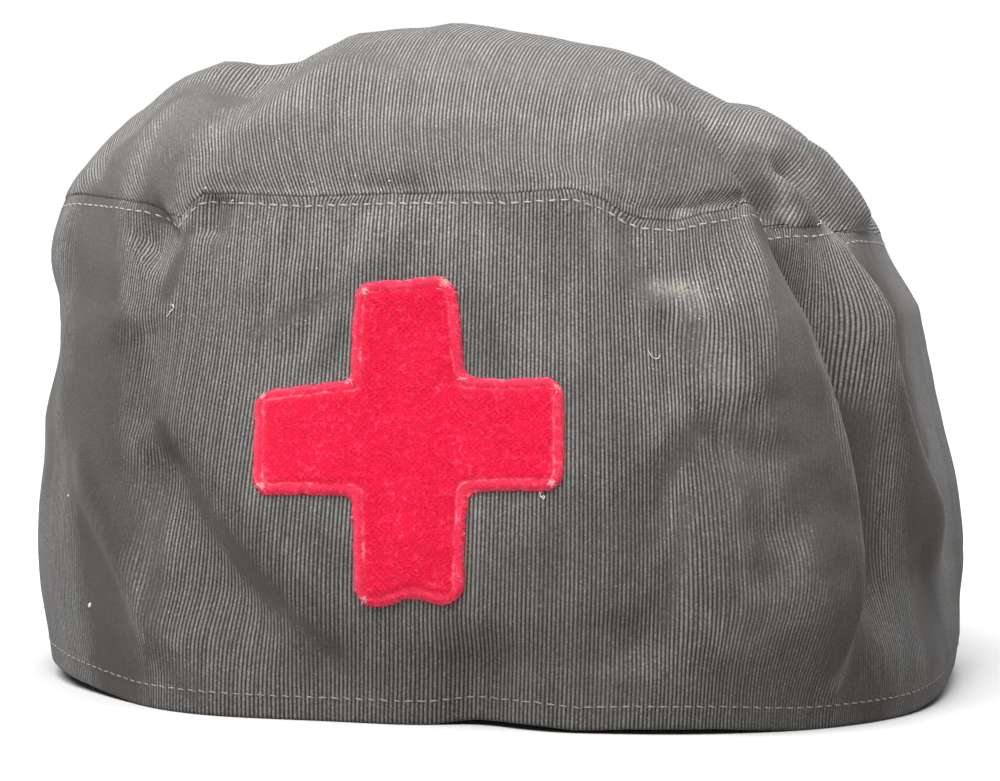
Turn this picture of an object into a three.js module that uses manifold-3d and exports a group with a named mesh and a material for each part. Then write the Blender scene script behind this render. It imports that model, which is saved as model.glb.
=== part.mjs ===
// A nurse's cap of ribbed cotton, standing on its hem: a side band with a turned-up hem, a soft domed
// crown whose edge is sewn inside the top of the band, and a velvet cross sewn to the front of the band.
// Millimetres, +Z up, the wearer's front towards -Y, the origin on the ground under the middle of the cap.
import * as THREE from "three";
import { mergeVertices } from "three/addons/utils/BufferGeometryUtils.js";
import Module from "manifold-3d";

// Driving dimensions
const rimHalfWidth = 92.5; // side to side, of the hem's plan before the sections' shares
const rimHalfDepth = 91.5; // front to back
const planSquareness = 2.6; // 2 is an ellipse, more is nearer a rounded rectangle
const bandHeight = 94.5; // hem to seam, at the front
const crownRise = 37; // seam to the top of the crown
const topShiftX = -10; // the top of the crown leans this far towards the wearer's right
const topShiftY = 4; // and this far back
const clothWall = 1.2;
const clothGap = 0.3; // between two pieces that are sewn together
const hemTurnUp = 6; // height of the doubled cloth inside the hem
const seamTuck = 6; // how far the crown's edge goes down inside the band
const foldDepth = 6; // the folds' rises are shares of it
const foldWidth = 10; // and their widths shares of it
const crossSpan = 58.5; // tip to tip, both ways
const crossArm = 19.3;
const crossCorner = 3.4; // radius of the arms' corners
const crossInnerCorner = 1;
const crossThickness = 1.4;
const crossHeight = 51; // its middle above the ground
const crossTilt = 2.5; // degrees, the wearer's left arm up

// Facets
const columns = 88;
const columnCrowding = 0.4; // how much closer the columns stand around the deep folds
const crowdedAngle = 42; // degrees from the front, where the deep folds are
const bandRows = 13;
const crownRows = 11;
const foldSteps = 8; // straight stretches in a fold's line

// The cap at some angles from the front, in degrees towards +X.
// rim, belly, waist and seam: reach from the middle, as a share of the hem's plan.
// seamLevel: the seam's height as a share of bandHeight. fullness: 2 makes the crown a quarter ellipse.
const sections = [
  { angle: -180, rim: 1.0, belly: 1.02, waist: 0.97, seam: 0.89, seamLevel: 0.96, fullness: 1.7 },
  { angle: -135, rim: 0.95, belly: 0.97, waist: 0.94, seam: 0.87, seamLevel: 0.96, fullness: 1.6 },
  { angle: -90, rim: 0.91, belly: 0.95, waist: 0.93, seam: 0.945, seamLevel: 0.965, fullness: 1.6 },
  { angle: -45, rim: 1.01, belly: 1.02, waist: 0.975, seam: 0.95, seamLevel: 0.985, fullness: 1.65 },
  { angle: 0, rim: 1.02, belly: 1.035, waist: 0.985, seam: 0.945, seamLevel: 1.0, fullness: 1.9 },
  { angle: 45, rim: 1.02, belly: 1.03, waist: 0.97, seam: 0.89, seamLevel: 0.97, fullness: 1.75 },
  { angle: 90, rim: 0.98, belly: 1.01, waist: 0.93, seam: 0.8, seamLevel: 0.95, fullness: 1.75 },
  { angle: 135, rim: 0.95, belly: 0.97, waist: 0.92, seam: 0.83, seamLevel: 0.95, fullness: 1.6 },
];
const profileLevels = { rim: 0, belly: 0.3, waist: 0.68, seam: 1 };

// The folds and dents, each along a line from its upper end to its lower end. Levels run from 0 at the hem
// through 1 at the seam to 2 at the top of the crown. bow: how far the line bends towards +angle, as a
// share of its length. rise: outwards, a share of foldDepth. before and after: its width on the side of
// the smaller and of the larger angle, shares of foldWidth.
const folds = [
  // The deep pleats at the wearer's left
  { angle: 43, level: 1.42, toAngle: 40, toLevel: 1.0, bow: 0, rise: 0.4, before: 1.6, after: 0.45 },
  { angle: 46, level: 1.5, toAngle: 43, toLevel: 0.96, bow: 0, rise: -1.0, before: 0.6, after: 0.8 },
  { angle: 41, level: 1.0, toAngle: 48, toLevel: 0.03, bow: 0.08, rise: 0.7, before: 1.6, after: 0.5 },
  { angle: 44, level: 1.02, toAngle: 57, toLevel: 0.12, bow: 0.05, rise: -1.15, before: 0.6, after: 0.9 },
  { angle: 51, level: 1.25, toAngle: 50, toLevel: 0.98, bow: 0, rise: 0.35, before: 0.5, after: 0.5 },
  { angle: 54, level: 1.28, toAngle: 58.5, toLevel: 0.95, bow: 0, rise: -0.7, before: 0.4, after: 0.5 },
  { angle: 58, level: 0.98, toAngle: 80, toLevel: 0.26, bow: -0.11, rise: 0.6, before: 0.8, after: 0.5 },
  { angle: 63, level: 0.95, toAngle: 86, toLevel: 0.3, bow: -0.1, rise: -0.5, before: 0.5, after: 0.9 },
  { angle: 66, level: 1.3, toAngle: 68, toLevel: 1.0, bow: 0, rise: 0.35, before: 0.8, after: 0.8 },
  // The dents beside the cross, at the wearer's left
  { angle: 20, level: 1.02, toAngle: 36, toLevel: 0.62, bow: -0.06, rise: -0.4, before: 0.8, after: 0.5 },
  { angle: 32, level: 0.86, toAngle: 37, toLevel: 0.62, bow: 0, rise: 0.3, before: 0.6, after: 0.6 },
  { angle: 36, level: 0.63, toAngle: 28, toLevel: 0.34, bow: -0.12, rise: -0.45, before: 0.6, after: 0.8 },
  { angle: 30, level: 0.42, toAngle: 25, toLevel: 0.1, bow: 0, rise: -0.35, before: 0.6, after: 0.6 },
  { angle: 36, level: 0.57, toAngle: 32, toLevel: 0.1, bow: 0, rise: 0.35, before: 0.6, after: 0.6 },
  { angle: 47, level: 0.42, toAngle: 33, toLevel: 0.2, bow: 0, rise: 0.35, before: 0.5, after: 0.6 },
  // The wearer's right
  { angle: -48, level: 0.52, toAngle: -29, toLevel: 0.05, bow: 0.04, rise: 0.4, before: 0.6, after: 0.45 },
  { angle: -34, level: 0.68, toAngle: -7, toLevel: 0.1, bow: 0, rise: 0.35, before: 0.5, after: 1.5 },
  { angle: -32, level: 0.56, toAngle: -12, toLevel: 0.08, bow: 0, rise: -0.6, before: 0.9, after: 0.6 },
  { angle: -35, level: 0.78, toAngle: -31, toLevel: 0.5, bow: 0, rise: -0.35, before: 0.7, after: 0.6 },
  { angle: -32, level: 1.0, toAngle: -37, toLevel: 0.87, bow: 0, rise: -0.6, before: 0.6, after: 0.5 },
  { angle: -82, level: 0.9, toAngle: -48, toLevel: 0.88, bow: 0, rise: 0.5, before: 0.9, after: 0.9 },
  { angle: -86, level: 0.71, toAngle: -50, toLevel: 0.7, bow: 0, rise: -0.35, before: 1.0, after: 1.0 },
  // The crown
  { angle: -50, level: 1.78, toAngle: -27, toLevel: 1.0, bow: 0.1, rise: -0.6, before: 1.0, after: 0.8 },
  { angle: -12, level: 1.6, toAngle: -25, toLevel: 1.2, bow: 0, rise: 0.3, before: 0.6, after: 1.0 },
  { angle: -34, level: 1.45, toAngle: -48, toLevel: 1.05, bow: 0, rise: 0.35, before: 0.9, after: 0.9 },
  { angle: 36, level: 1.6, toAngle: 41, toLevel: 1.2, bow: 0, rise: 0.3, before: 0.6, after: 0.5 },
  { angle: 2, level: 1.36, toAngle: -4, toLevel: 1.0, bow: 0, rise: 0.2, before: 0.6, after: 0.6 },
  { angle: 21, level: 1.4, toAngle: 20, toLevel: 1.0, bow: 0, rise: -0.25, before: 0.6, after: 0.6 },
  // The hem's dent under the cross, and the back
  { angle: 8, level: 0.22, toAngle: 8, toLevel: -0.2, bow: 0, rise: -0.8, before: 0.9, after: 0.9 },
  { angle: 104, level: 0.95, toAngle: 98, toLevel: 0.1, bow: 0, rise: 0.4, before: 1.2, after: 1.2 },
  { angle: 124, level: 1.1, toAngle: 117, toLevel: 0.15, bow: 0, rise: -0.5, before: 1.0, after: 1.0 },
  { angle: 165, level: 1.35, toAngle: 171, toLevel: 0.35, bow: 0.04, rise: -0.5, before: 1.0, after: 1.2 },
  { angle: -158, level: 1.1, toAngle: -149, toLevel: 0.15, bow: 0, rise: 0.5, before: 1.2, after: 1.2 },
  { angle: -124, level: 1.05, toAngle: -134, toLevel: 0.2, bow: 0, rise: -0.5, before: 1.1, after: 1.1 },
  { angle: -99, level: 1.0, toAngle: -94, toLevel: 0.25, bow: 0, rise: -0.35, before: 0.9, after: 0.9 },
  { angle: 140, level: 1.7, toAngle: 142, toLevel: 1.1, bow: 0.05, rise: -0.45, before: 1.2, after: 1.2 },
  { angle: -118, level: 1.65, toAngle: -136, toLevel: 1.1, bow: 0, rise: -0.4, before: 1.2, after: 1.2 },
];

const cloth = new THREE.MeshStandardMaterial({ color: 0x6f6d6b, roughness: 0.9, metalness: 0 });
const velvet = new THREE.MeshStandardMaterial({ color: 0xf82848, roughness: 0.95, metalness: 0 });

// The smooth cap
const sectionShares = Object.keys(sections[0]).filter((name) => name !== "angle");
const sectionTrack = (() => {
  const turned = (row, by) => ({ ...row, angle: row.angle + by });
  const rows = [
    ...sections.slice(-2).map((row) => turned(row, -360)),
    ...sections,
    ...sections.slice(0, 3).map((row) => turned(row, 360)),
  ];
  const values = rows.flatMap((row) => sectionShares.map((name) => row[name]));
  return new THREE.CubicInterpolant(rows.map((row) => row.angle), values, sectionShares.length);
})();

function sectionAt(angle) {
  const values = sectionTrack.evaluate(THREE.MathUtils.euclideanModulo(angle + 180, 360) - 180);
  return Object.fromEntries(sectionShares.map((name, i) => [name, values[i]]));
}

function planRadius(angle) {
  const turn = THREE.MathUtils.degToRad(angle);
  const across = Math.abs(Math.sin(turn) / rimHalfWidth) ** planSquareness;
  const along = Math.abs(Math.cos(turn) / rimHalfDepth) ** planSquareness;
  return (across + along) ** (-1 / planSquareness);
}

function bandShare(section, level) {
  const names = Object.keys(profileLevels);
  const levels = names.map((name) => profileLevels[name]);
  const track = new THREE.CubicInterpolant(levels, names.map((name) => section[name]), 1);
  return track.evaluate(Math.max(level, 0))[0];
}

function smoothPoint(angle, level) {
  const section = sectionAt(angle);
  const turn = THREE.MathUtils.degToRad(angle);
  const seamHeight = bandHeight * section.seamLevel;
  let reach = planRadius(angle);
  let height = seamHeight * level;
  let lean = 0;
  if (level <= 1) {
    reach *= bandShare(section, level);
  } else {
    const climb = (Math.min(level - 1, 1) * Math.PI) / 2;
    const power = 2 / section.fullness;
    lean = Math.sin(climb) ** power;
    reach *= section.seam * Math.max(Math.cos(climb), 0) ** power;
    height = seamHeight + (bandHeight + crownRise - seamHeight) * lean;
  }
  const x = reach * Math.sin(turn) + topShiftX * lean;
  const y = -reach * Math.cos(turn) + topShiftY * lean;
  return new THREE.Vector3(x, y, height);
}

// A fold's line, laid on the smooth cap
function foldLine(fold) {
  const perDegree = THREE.MathUtils.degToRad(rimHalfWidth);
  const from = new THREE.Vector2(fold.angle * perDegree, fold.level * bandHeight);
  const to = new THREE.Vector2(fold.toAngle * perDegree, fold.toLevel * bandHeight);
  const along = to.clone().sub(from);
  const aside = new THREE.Vector2(-along.y, along.x).multiplyScalar(2 * fold.bow);
  const middle = from.clone().lerp(to, 0.5).add(aside);
  const line = new THREE.QuadraticBezierCurve(from, middle, to).getPoints(foldSteps);
  return line.map((p) => smoothPoint(p.x / perDegree, p.y / bandHeight));
}

const foldLines = folds.map(foldLine);

// How far the folds push a point of the smooth cap outwards
function foldRise(point, outward) {
  return folds.reduce((sum, fold, i) => {
    const line = foldLines[i];
    let nearest = { distance: Infinity, share: 0, after: false };
    for (let k = 0; k < foldSteps; k += 1) {
      const stretch = new THREE.Line3(line[k], line[k + 1]);
      const part = stretch.closestPointToPointParameter(point, true);
      const away = point.clone().sub(stretch.at(part, new THREE.Vector3()));
      if (away.length() < nearest.distance) {
        const side = stretch.delta(new THREE.Vector3()).cross(away).dot(outward);
        nearest = { distance: away.length(), share: (k + part) / foldSteps, after: side > 0 };
      }
    }
    const width = foldWidth * (nearest.after ? fold.after : fold.before);
    const fade = Math.min(4 * nearest.share, 4 * (1 - nearest.share), 1);
    const taper = THREE.MathUtils.smoothstep(fade, 0, 1);
    return sum + foldDepth * fold.rise * taper * Math.exp(-((nearest.distance / width) ** 2));
  }, 0);
}

// Which way is out: level in the band, so that the hem stays on the ground
function outwardAt(angle, level) {
  if (level >= 2) return new THREE.Vector3(0, 0, 1);
  const nudge = 0.01;
  const here = smoothPoint(angle, level);
  const across = smoothPoint(angle + nudge, level).sub(here);
  const up = smoothPoint(angle, Math.min(level + nudge, 1.999)).sub(smoothPoint(angle, level - nudge));
  const outward = across.cross(up).normalize();
  outward.z *= THREE.MathUtils.smoothstep(level, 1, 1.15);
  return outward.normalize();
}

// The cap's cloth as rings of points from the top of the crown down to the hem
const columnAngles = Array.from({ length: columns }, (_, i) => {
  const even = (i * 360) / columns;
  const bend = Math.sin(THREE.MathUtils.degToRad(even - crowdedAngle));
  return even - THREE.MathUtils.radToDeg(columnCrowding * bend);
});
const hemLevel = hemTurnUp / bandHeight;
const tuckLevel = 1 - seamTuck / bandHeight;
const evenly = (from, to, count) => Array.from({ length: count }, (_, i) => from + ((to - from) * i) / count);
const crownLevels = evenly(1.97, 1, crownRows);
const bandLevels = [1, ...evenly(tuckLevel, hemLevel, bandRows - 2), hemLevel, 0];
const levels = [...crownLevels, ...bandLevels];

const rings = levels.map((level) =>
  columnAngles.map((angle) => {
    const point = smoothPoint(angle, level);
    const outward = outwardAt(angle, level);
    return point.addScaledVector(outward, foldRise(point, outward));
  }),
);
const apex = smoothPoint(0, 2);

const ringNormals = rings.map((ring, i) =>
  ring.map((point, j) => {
    const across = ring[(j + 1) % columns].clone().sub(ring[(j + columns - 1) % columns]);
    const above = i > 0 ? rings[i - 1][j] : apex;
    const below = rings[Math.min(i + 1, rings.length - 1)][j];
    const normal = across.cross(above.clone().sub(below)).normalize();
    if (levels[i] <= 1) normal.z = 0;
    return normal.normalize();
  }),
);

// The ring at a place in the list, moved along its normals, with only its columns in reach if given
function moved(i, distance, within = () => true) {
  const ring = rings[i].map((point, j) => point.clone().addScaledVector(ringNormals[i][j], distance));
  return ring.filter((_, j) => within(columnAngles[j]));
}

// The closed solid between two sheets of rings, each from the top down. A ring of one point closes a sheet
// at the top. Where the rings don't go all the way round, the sides are closed too.
function solidBetween(outer, inner, allRound) {
  const all = [...outer, ...inner];
  const starts = all.map((_, i) => all.slice(0, i).reduce((sum, ring) => sum + ring.length, 0));
  const innerStart = outer.length;
  const triangles = [];
  const corner = (i, j) => starts[i] + (j % all[i].length);
  const strip = (upper, lower, inwards) => {
    const round = Math.max(all[upper].length, all[lower].length) - (allRound ? 0 : 1);
    for (let j = 0; j < round; j += 1) {
      const first = [corner(upper, j), corner(lower, j), corner(lower, j + 1)];
      const second = [corner(upper, j), corner(lower, j + 1), corner(upper, j + 1)];
      for (const triangle of all[upper].length === 1 ? [first] : [first, second]) {
        triangles.push(...(inwards ? triangle.reverse() : triangle));
      }
    }
  };
  outer.slice(1).forEach((_, i) => strip(i, i + 1, false));
  inner.slice(1).forEach((_, i) => strip(innerStart + i, innerStart + i + 1, true));
  strip(innerStart - 1, all.length - 1, false);
  if (outer[0].length > 1) strip(innerStart, 0, false);
  if (!allRound) {
    outer.slice(1).forEach((ring, i) => {
      const last = ring.length - 1;
      for (const [j, inwards] of [[0, true], [last, false]]) {
        const first = [corner(i, j), corner(i + 1, j), corner(innerStart + i + 1, j)];
        const second = [corner(i, j), corner(innerStart + i + 1, j), corner(innerStart + i, j)];
        for (const triangle of [first, second]) triangles.push(...(inwards ? triangle.reverse() : triangle));
      }
    });
  }
  const geometry = new THREE.BufferGeometry().setFromPoints(all.flat());
  geometry.setIndex(triangles);
  geometry.computeVertexNormals();
  return geometry;
}

function named(name, geometry, material) {
  const mesh = new THREE.Mesh(geometry, material);
  mesh.name = name;
  return mesh;
}

function sideBand() {
  const rows = levels.map((_, i) => i).filter((i) => levels[i] <= 1);
  const outer = rows.map((i) => moved(i, 0));
  const upper = rows.filter((i) => levels[i] >= hemLevel).map((i) => moved(i, -clothWall));
  const hem = rows.filter((i) => levels[i] <= hemLevel).map((i) => moved(i, -2 * clothWall));
  return named("side_band", solidBetween(outer, [...upper, ...hem], true), cloth);
}

function crown() {
  const rows = levels.map((_, i) => i).filter((i) => levels[i] >= tuckLevel);
  const inset = clothWall + clothGap;
  const sheet = (depth) => {
    const top = apex.clone();
    top.z -= depth;
    return [[top], ...rows.map((i) => moved(i, -depth))];
  };
  return named("crown", solidBetween(sheet(inset), sheet(inset + clothWall), true), cloth);
}

// The cross's outline, its corners rounded, upright before its tilt
function crossShape() {
  const tip = crossSpan / 2;
  const arm = crossArm / 2;
  const quarter = [
    { x: arm, y: tip, radius: crossCorner },
    { x: arm, y: arm, radius: crossInnerCorner },
    { x: tip, y: arm, radius: crossCorner },
  ];
  const corners = [0, 1, 2, 3].flatMap((turn) =>
    quarter.map(({ x, y, radius }) => {
      const at = new THREE.Vector2(x, y).rotateAround(new THREE.Vector2(), (-turn * Math.PI) / 2);
      return { at, radius };
    }),
  );
  const shape = new THREE.Shape();
  corners.forEach(({ at, radius }, i) => {
    const before = corners[(i + corners.length - 1) % corners.length].at;
    const after = corners[(i + 1) % corners.length].at;
    const start = at.clone().add(before.clone().sub(at).setLength(radius));
    const end = at.clone().add(after.clone().sub(at).setLength(radius));
    if (i === 0) shape.moveTo(start.x, start.y);
    else shape.lineTo(start.x, start.y);
    shape.quadraticCurveTo(at.x, at.y, end.x, end.y);
  });
  return shape;
}

function toManifold(wasm, geometry) {
  const bare = geometry.clone();
  bare.deleteAttribute("normal");
  bare.deleteAttribute("uv");
  const merged = mergeVertices(bare, 1e-5);
  const mesh = { numProp: 3, vertProperties: merged.attributes.position.array };
  return new wasm.Manifold(new wasm.Mesh({ ...mesh, triVerts: Uint32Array.from(merged.index.array) }));
}

// A sheet that lies on the band's front, cut to the cross's outline
async function crossPatch() {
  const wasm = await Module();
  wasm.setup();
  const reach = THREE.MathUtils.radToDeg(Math.atan2(crossSpan, rimHalfDepth));
  const rows = levels.map((_, i) => i).filter((i) => levels[i] <= 1);
  const within = (angle) => Math.abs(THREE.MathUtils.euclideanModulo(angle + 180, 360) - 180) < reach;
  const firstColumn = columnAngles.findIndex((angle, j) => within(angle) && !within(columnAngles.at(j - 1)));
  const count = columnAngles.filter(within).length;
  const patchRing = (i, distance) => {
    const ring = moved(i, distance);
    return Array.from({ length: count }, (_, j) => ring[(firstColumn + j) % columns]);
  };
  const outer = rows.map((i) => patchRing(i, clothGap + crossThickness));
  const inner = rows.map((i) => patchRing(i, clothGap));
  const cutter = new THREE.ExtrudeGeometry(crossShape(), {
    depth: 2 * rimHalfDepth,
    bevelEnabled: false,
    curveSegments: 4,
  });
  cutter.rotateZ(THREE.MathUtils.degToRad(crossTilt));
  cutter.rotateX(Math.PI / 2);
  cutter.translate(0, 0, crossHeight);
  const cut = toManifold(wasm, solidBetween(outer, inner, false)).intersect(toManifold(wasm, cutter));
  const { vertProperties, triVerts } = cut.getMesh();
  const geometry = new THREE.BufferGeometry();
  geometry.setAttribute("position", new THREE.BufferAttribute(vertProperties, 3));
  geometry.setIndex(new THREE.BufferAttribute(triVerts, 1));
  geometry.computeVertexNormals();
  return named("cross_patch", geometry, velvet);
}

const cap = new THREE.Group();
cap.add(sideBand(), crown(), await crossPatch());
const middle = new THREE.Box3().setFromObject(cap).getCenter(new THREE.Vector3());
cap.position.set(-middle.x, -middle.y, 0);

export default cap;
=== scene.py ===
import math
import random
from collections import namedtuple
from functools import cache

import bmesh
import bpy
import numpy as np
from mathutils import Matrix, Vector, noise


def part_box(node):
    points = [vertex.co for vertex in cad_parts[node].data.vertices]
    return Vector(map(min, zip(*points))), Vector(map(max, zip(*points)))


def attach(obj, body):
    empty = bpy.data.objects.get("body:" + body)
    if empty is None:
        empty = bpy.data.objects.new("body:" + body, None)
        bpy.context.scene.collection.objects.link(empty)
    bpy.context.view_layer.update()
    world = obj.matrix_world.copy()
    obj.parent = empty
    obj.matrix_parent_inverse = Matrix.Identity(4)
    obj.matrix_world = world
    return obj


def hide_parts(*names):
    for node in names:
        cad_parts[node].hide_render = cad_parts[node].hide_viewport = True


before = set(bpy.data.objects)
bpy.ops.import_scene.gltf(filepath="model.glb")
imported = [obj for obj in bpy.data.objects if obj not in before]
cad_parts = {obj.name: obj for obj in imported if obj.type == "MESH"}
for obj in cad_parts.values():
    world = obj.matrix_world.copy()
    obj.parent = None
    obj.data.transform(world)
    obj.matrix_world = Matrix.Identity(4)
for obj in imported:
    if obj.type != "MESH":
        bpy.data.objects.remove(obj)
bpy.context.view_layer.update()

bl_info = {
    "name": "Nurse's Cap",
    "version": (1, 0, 0),
    "blender": (4, 5, 0),
    "location": "View3D > Sidebar > Nurse's Cap",
    "description": "A ribbed cotton cap with a velvet cross, dressed over its packed solids",
    "category": "Add Mesh",
}

BODY = "root"
MM = 0.001

# The cap's solids, in millimetres, as they were built
RIM_HALF_WIDTH = 92.5
RIM_HALF_DEPTH = 91.5
PLAN_SQUARENESS = 2.6
BAND_HEIGHT = 94.5
CROWN_RISE = 37.0
TOP_SHIFT = (-10.0, 4.0)
FOLD_DEPTH = 6.0
FOLD_WIDTH = 10.0
CROSS_HEIGHT = 51.0
PROFILE_LEVELS = (0.0, 0.3, 0.68, 1.0)

# The cap at some angles from the front, in degrees towards +X: reach from the middle at the rim, belly, waist
# and seam as shares of the hem's plan, the seam's height as a share of the band's, the crown's fullness
Section = namedtuple("Section", "angle rim belly waist seam seam_level fullness")
SECTIONS = [Section(*row) for row in (
    (-180, 1, 1.02, 0.97, 0.89, 0.96, 1.7), (-135, 0.95, 0.97, 0.94, 0.87, 0.96, 1.6),
    (-90, 0.91, 0.95, 0.93, 0.945, 0.965, 1.6), (-45, 1.01, 1.02, 0.975, 0.95, 0.985, 1.65),
    (0, 1.02, 1.035, 0.985, 0.945, 1, 1.9), (45, 1.02, 1.03, 0.97, 0.89, 0.97, 1.75),
    (90, 0.98, 1.01, 0.93, 0.8, 0.95, 1.75), (135, 0.95, 0.97, 0.92, 0.83, 0.95, 1.6),
)]

# Folds and dents, each along a line from its upper to its lower end. Level 0 is the hem, 1 the seam and 2
# the top of the crown. bow bends the line towards +angle, rise is outwards, before and after are its widths
# on the side of the smaller and the larger angle, and lap pushes it sideways over its neighbour.
Fold = namedtuple("Fold", "angle level to_angle to_level bow rise before after lap", defaults=(0.0,))
FOLDS = [Fold(*row) for row in (
    # The deep pleats at the wearer's left
    (41.5, 1.42, 38, 1, 0, 0.4, 1.6, 0.4, 0.35), (44.5, 1.5, 41.5, 0.96, 0, -1.1, 0.5, 0.7),
    (38.5, 1.02, 45.5, 0.03, 0.08, 0.75, 1.5, 0.4, 0.55), (42, 1.02, 55, 0.12, 0.05, -1.2, 0.5, 0.8),
    (49.5, 1.25, 48.5, 0.98, 0, 0.35, 0.5, 0.5), (52.5, 1.28, 57, 0.95, 0, -0.8, 0.35, 0.5),
    (56, 0.99, 77.5, 0.26, -0.11, 0.65, 0.8, 0.35, 0.45), (61, 0.95, 84, 0.3, -0.1, -0.6, 0.4, 0.9),
    (66, 1.3, 68, 1, 0, 0.35, 0.8, 0.8),
    # The dents beside the cross, at the wearer's left
    (20, 1.02, 36, 0.62, -0.06, -0.4, 0.8, 0.5), (32, 0.86, 37, 0.62, 0, 0.3, 0.6, 0.6),
    (36, 0.63, 28, 0.34, -0.12, -0.45, 0.6, 0.8), (30, 0.42, 25, 0.1, 0, -0.35, 0.6, 0.6),
    (36, 0.57, 32, 0.1, 0, 0.35, 0.6, 0.6), (47, 0.42, 33, 0.2, 0, 0.35, 0.5, 0.6),
    # The wearer's right
    (-47.5, 0.55, -26.5, 0.06, 0.07, 0.4, 0.6, 0.45), (-34, 0.68, -7, 0.1, 0, 0.35, 0.5, 1.5),
    (-32, 0.56, -12, 0.08, 0, -0.6, 0.9, 0.6), (-35, 0.78, -31, 0.5, 0, -0.35, 0.7, 0.6),
    (-32, 1, -37, 0.87, 0, -0.6, 0.6, 0.5), (-82, 0.9, -48, 0.88, 0, 0.5, 0.9, 0.9),
    (-86, 0.71, -50, 0.7, 0, -0.35, 1, 1),
    # The crown
    (-50, 1.78, -27, 1, 0.1, -0.6, 1, 0.8), (-12, 1.6, -25, 1.2, 0, 0.3, 0.6, 1),
    (-34, 1.45, -48, 1.05, 0, 0.35, 0.9, 0.9), (36, 1.6, 41, 1.2, 0, 0.3, 0.6, 0.5),
    (2, 1.36, -4, 1, 0, 0.2, 0.6, 0.6), (21, 1.4, 20, 1, 0, -0.25, 0.6, 0.6),
    # The hem's dent under the cross, and the back
    (8, 0.22, 8, -0.2, 0, -0.8, 0.9, 0.9), (104, 0.95, 98, 0.1, 0, 0.4, 1.2, 1.2),
    (124, 1.1, 117, 0.15, 0, -0.5, 1, 1), (165, 1.35, 171, 0.35, 0.04, -0.5, 1, 1.2),
    (-158, 1.1, -149, 0.15, 0, 0.5, 1.2, 1.2), (-124, 1.05, -134, 0.2, 0, -0.5, 1.1, 1.1),
    (-99, 1, -94, 0.25, 0, -0.35, 0.9, 0.9), (140, 1.7, 142, 1.1, 0.05, -0.45, 1.2, 1.2),
    (-118, 1.65, -136, 1.1, 0, -0.4, 1.2, 1.2),
)]

# Finer creases, too small for the solids
CREASES = [Fold(*row) for row in (
    (0, 0.99, -7, 0.83, 0, 0.12, 0.35, 0.35), (-7, 0.97, -14, 0.66, 0, -0.14, 0.4, 0.4),
    (-14, 0.9, -16, 0.7, 0, 0.12, 0.35, 0.35), (-25, 1, -26, 0.9, 0, -0.3, 0.3, 0.35),
    (25, 0.83, 34, 0.82, 0, 0.22, 0.35, 0.35), (9, 1.62, 14, 1.24, 0, 0.14, 0.3, 0.3),
    (-11, 1.32, -12, 1, 0, -0.12, 0.4, 0.4), (10, 1.3, 6, 1, 0, -0.12, 0.4, 0.4),
    (39, 0.6, 38, 0.34, 0, -0.3, 0.5, 0.5), (23, 0.24, 22, 0.1, 0, -0.2, 0.4, 0.4),
    (-22, 0.25, -22, -0.25, 0, 0.6, 1.8, 1.6), (-46, 0.47, -26.5, 0.08, 0.08, 0.22, 0.22, 0.3),
    (51, 0.62, 50, 0.2, 0, 0.25, 0.25, 0.25), (47.5, 1.3, 45, 1.02, 0, -0.5, 0.3, 0.35),
    (49.5, 1.25, 48.5, 0.98, 0, -0.25, 0.5, 0.5), (54, 1.02, 77, 0.45, -0.06, 0.3, 0.3, 0.18),
    (38, 0.97, 44, 0.62, 0.02, 0.15, 0.5, 0.2), (-5, 0.97, -9, 0.8, 0, 0.12, 0.2, 0.2),
    (-17, 0.98, -20, 0.78, 0, 0.14, 0.25, 0.25), (14, 0.97, 17, 0.8, 0, -0.1, 0.3, 0.3),
    (-105, 1.5, -50, 1.78, 0, -0.35, 0.7, 0.7),
)]

# How far the seam hangs below the solids' at some angles, in millimetres
SEAM_LINE = [
    (-180, 0), (-70, 0), (-53, -1.1), (-42, -0.1), (-37, 0.8), (-33, 2.7), (-30.5, 3.6), (-29, 1),
    (-27, -1.1), (-14, -0.2), (-2, -1.1), (10, -2), (18, -3.6), (22, -2), (24, -0.1), (26, 0.8), (30, 0.8),
    (34, -1.1), (37, -2), (40, -3.2), (41.5, -2.4), (43, 1.2), (46, 0.4), (51, -0.1), (56, -1.1), (58, 1),
    (62, 0.2), (74, 0), (180, 0),
]
# How far the hem is off the ground at some angles, in millimetres
HEM_LINE = [
    (-180, 0), (-115, 0), (-95, 2.6), (-80, 3.9), (-66, 3.5), (-52, 2.4), (-42, 1.2), (-32, 0), (3, 0),
    (8, 1), (15, 1), (19, 0.5), (25, 0.9), (34, 0.9), (40, 0.3), (44, 0), (60, 0), (70, 0.9), (80, 2.4),
    (92, 3.2), (108, 2.4), (128, 0), (180, 0),
]

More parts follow.
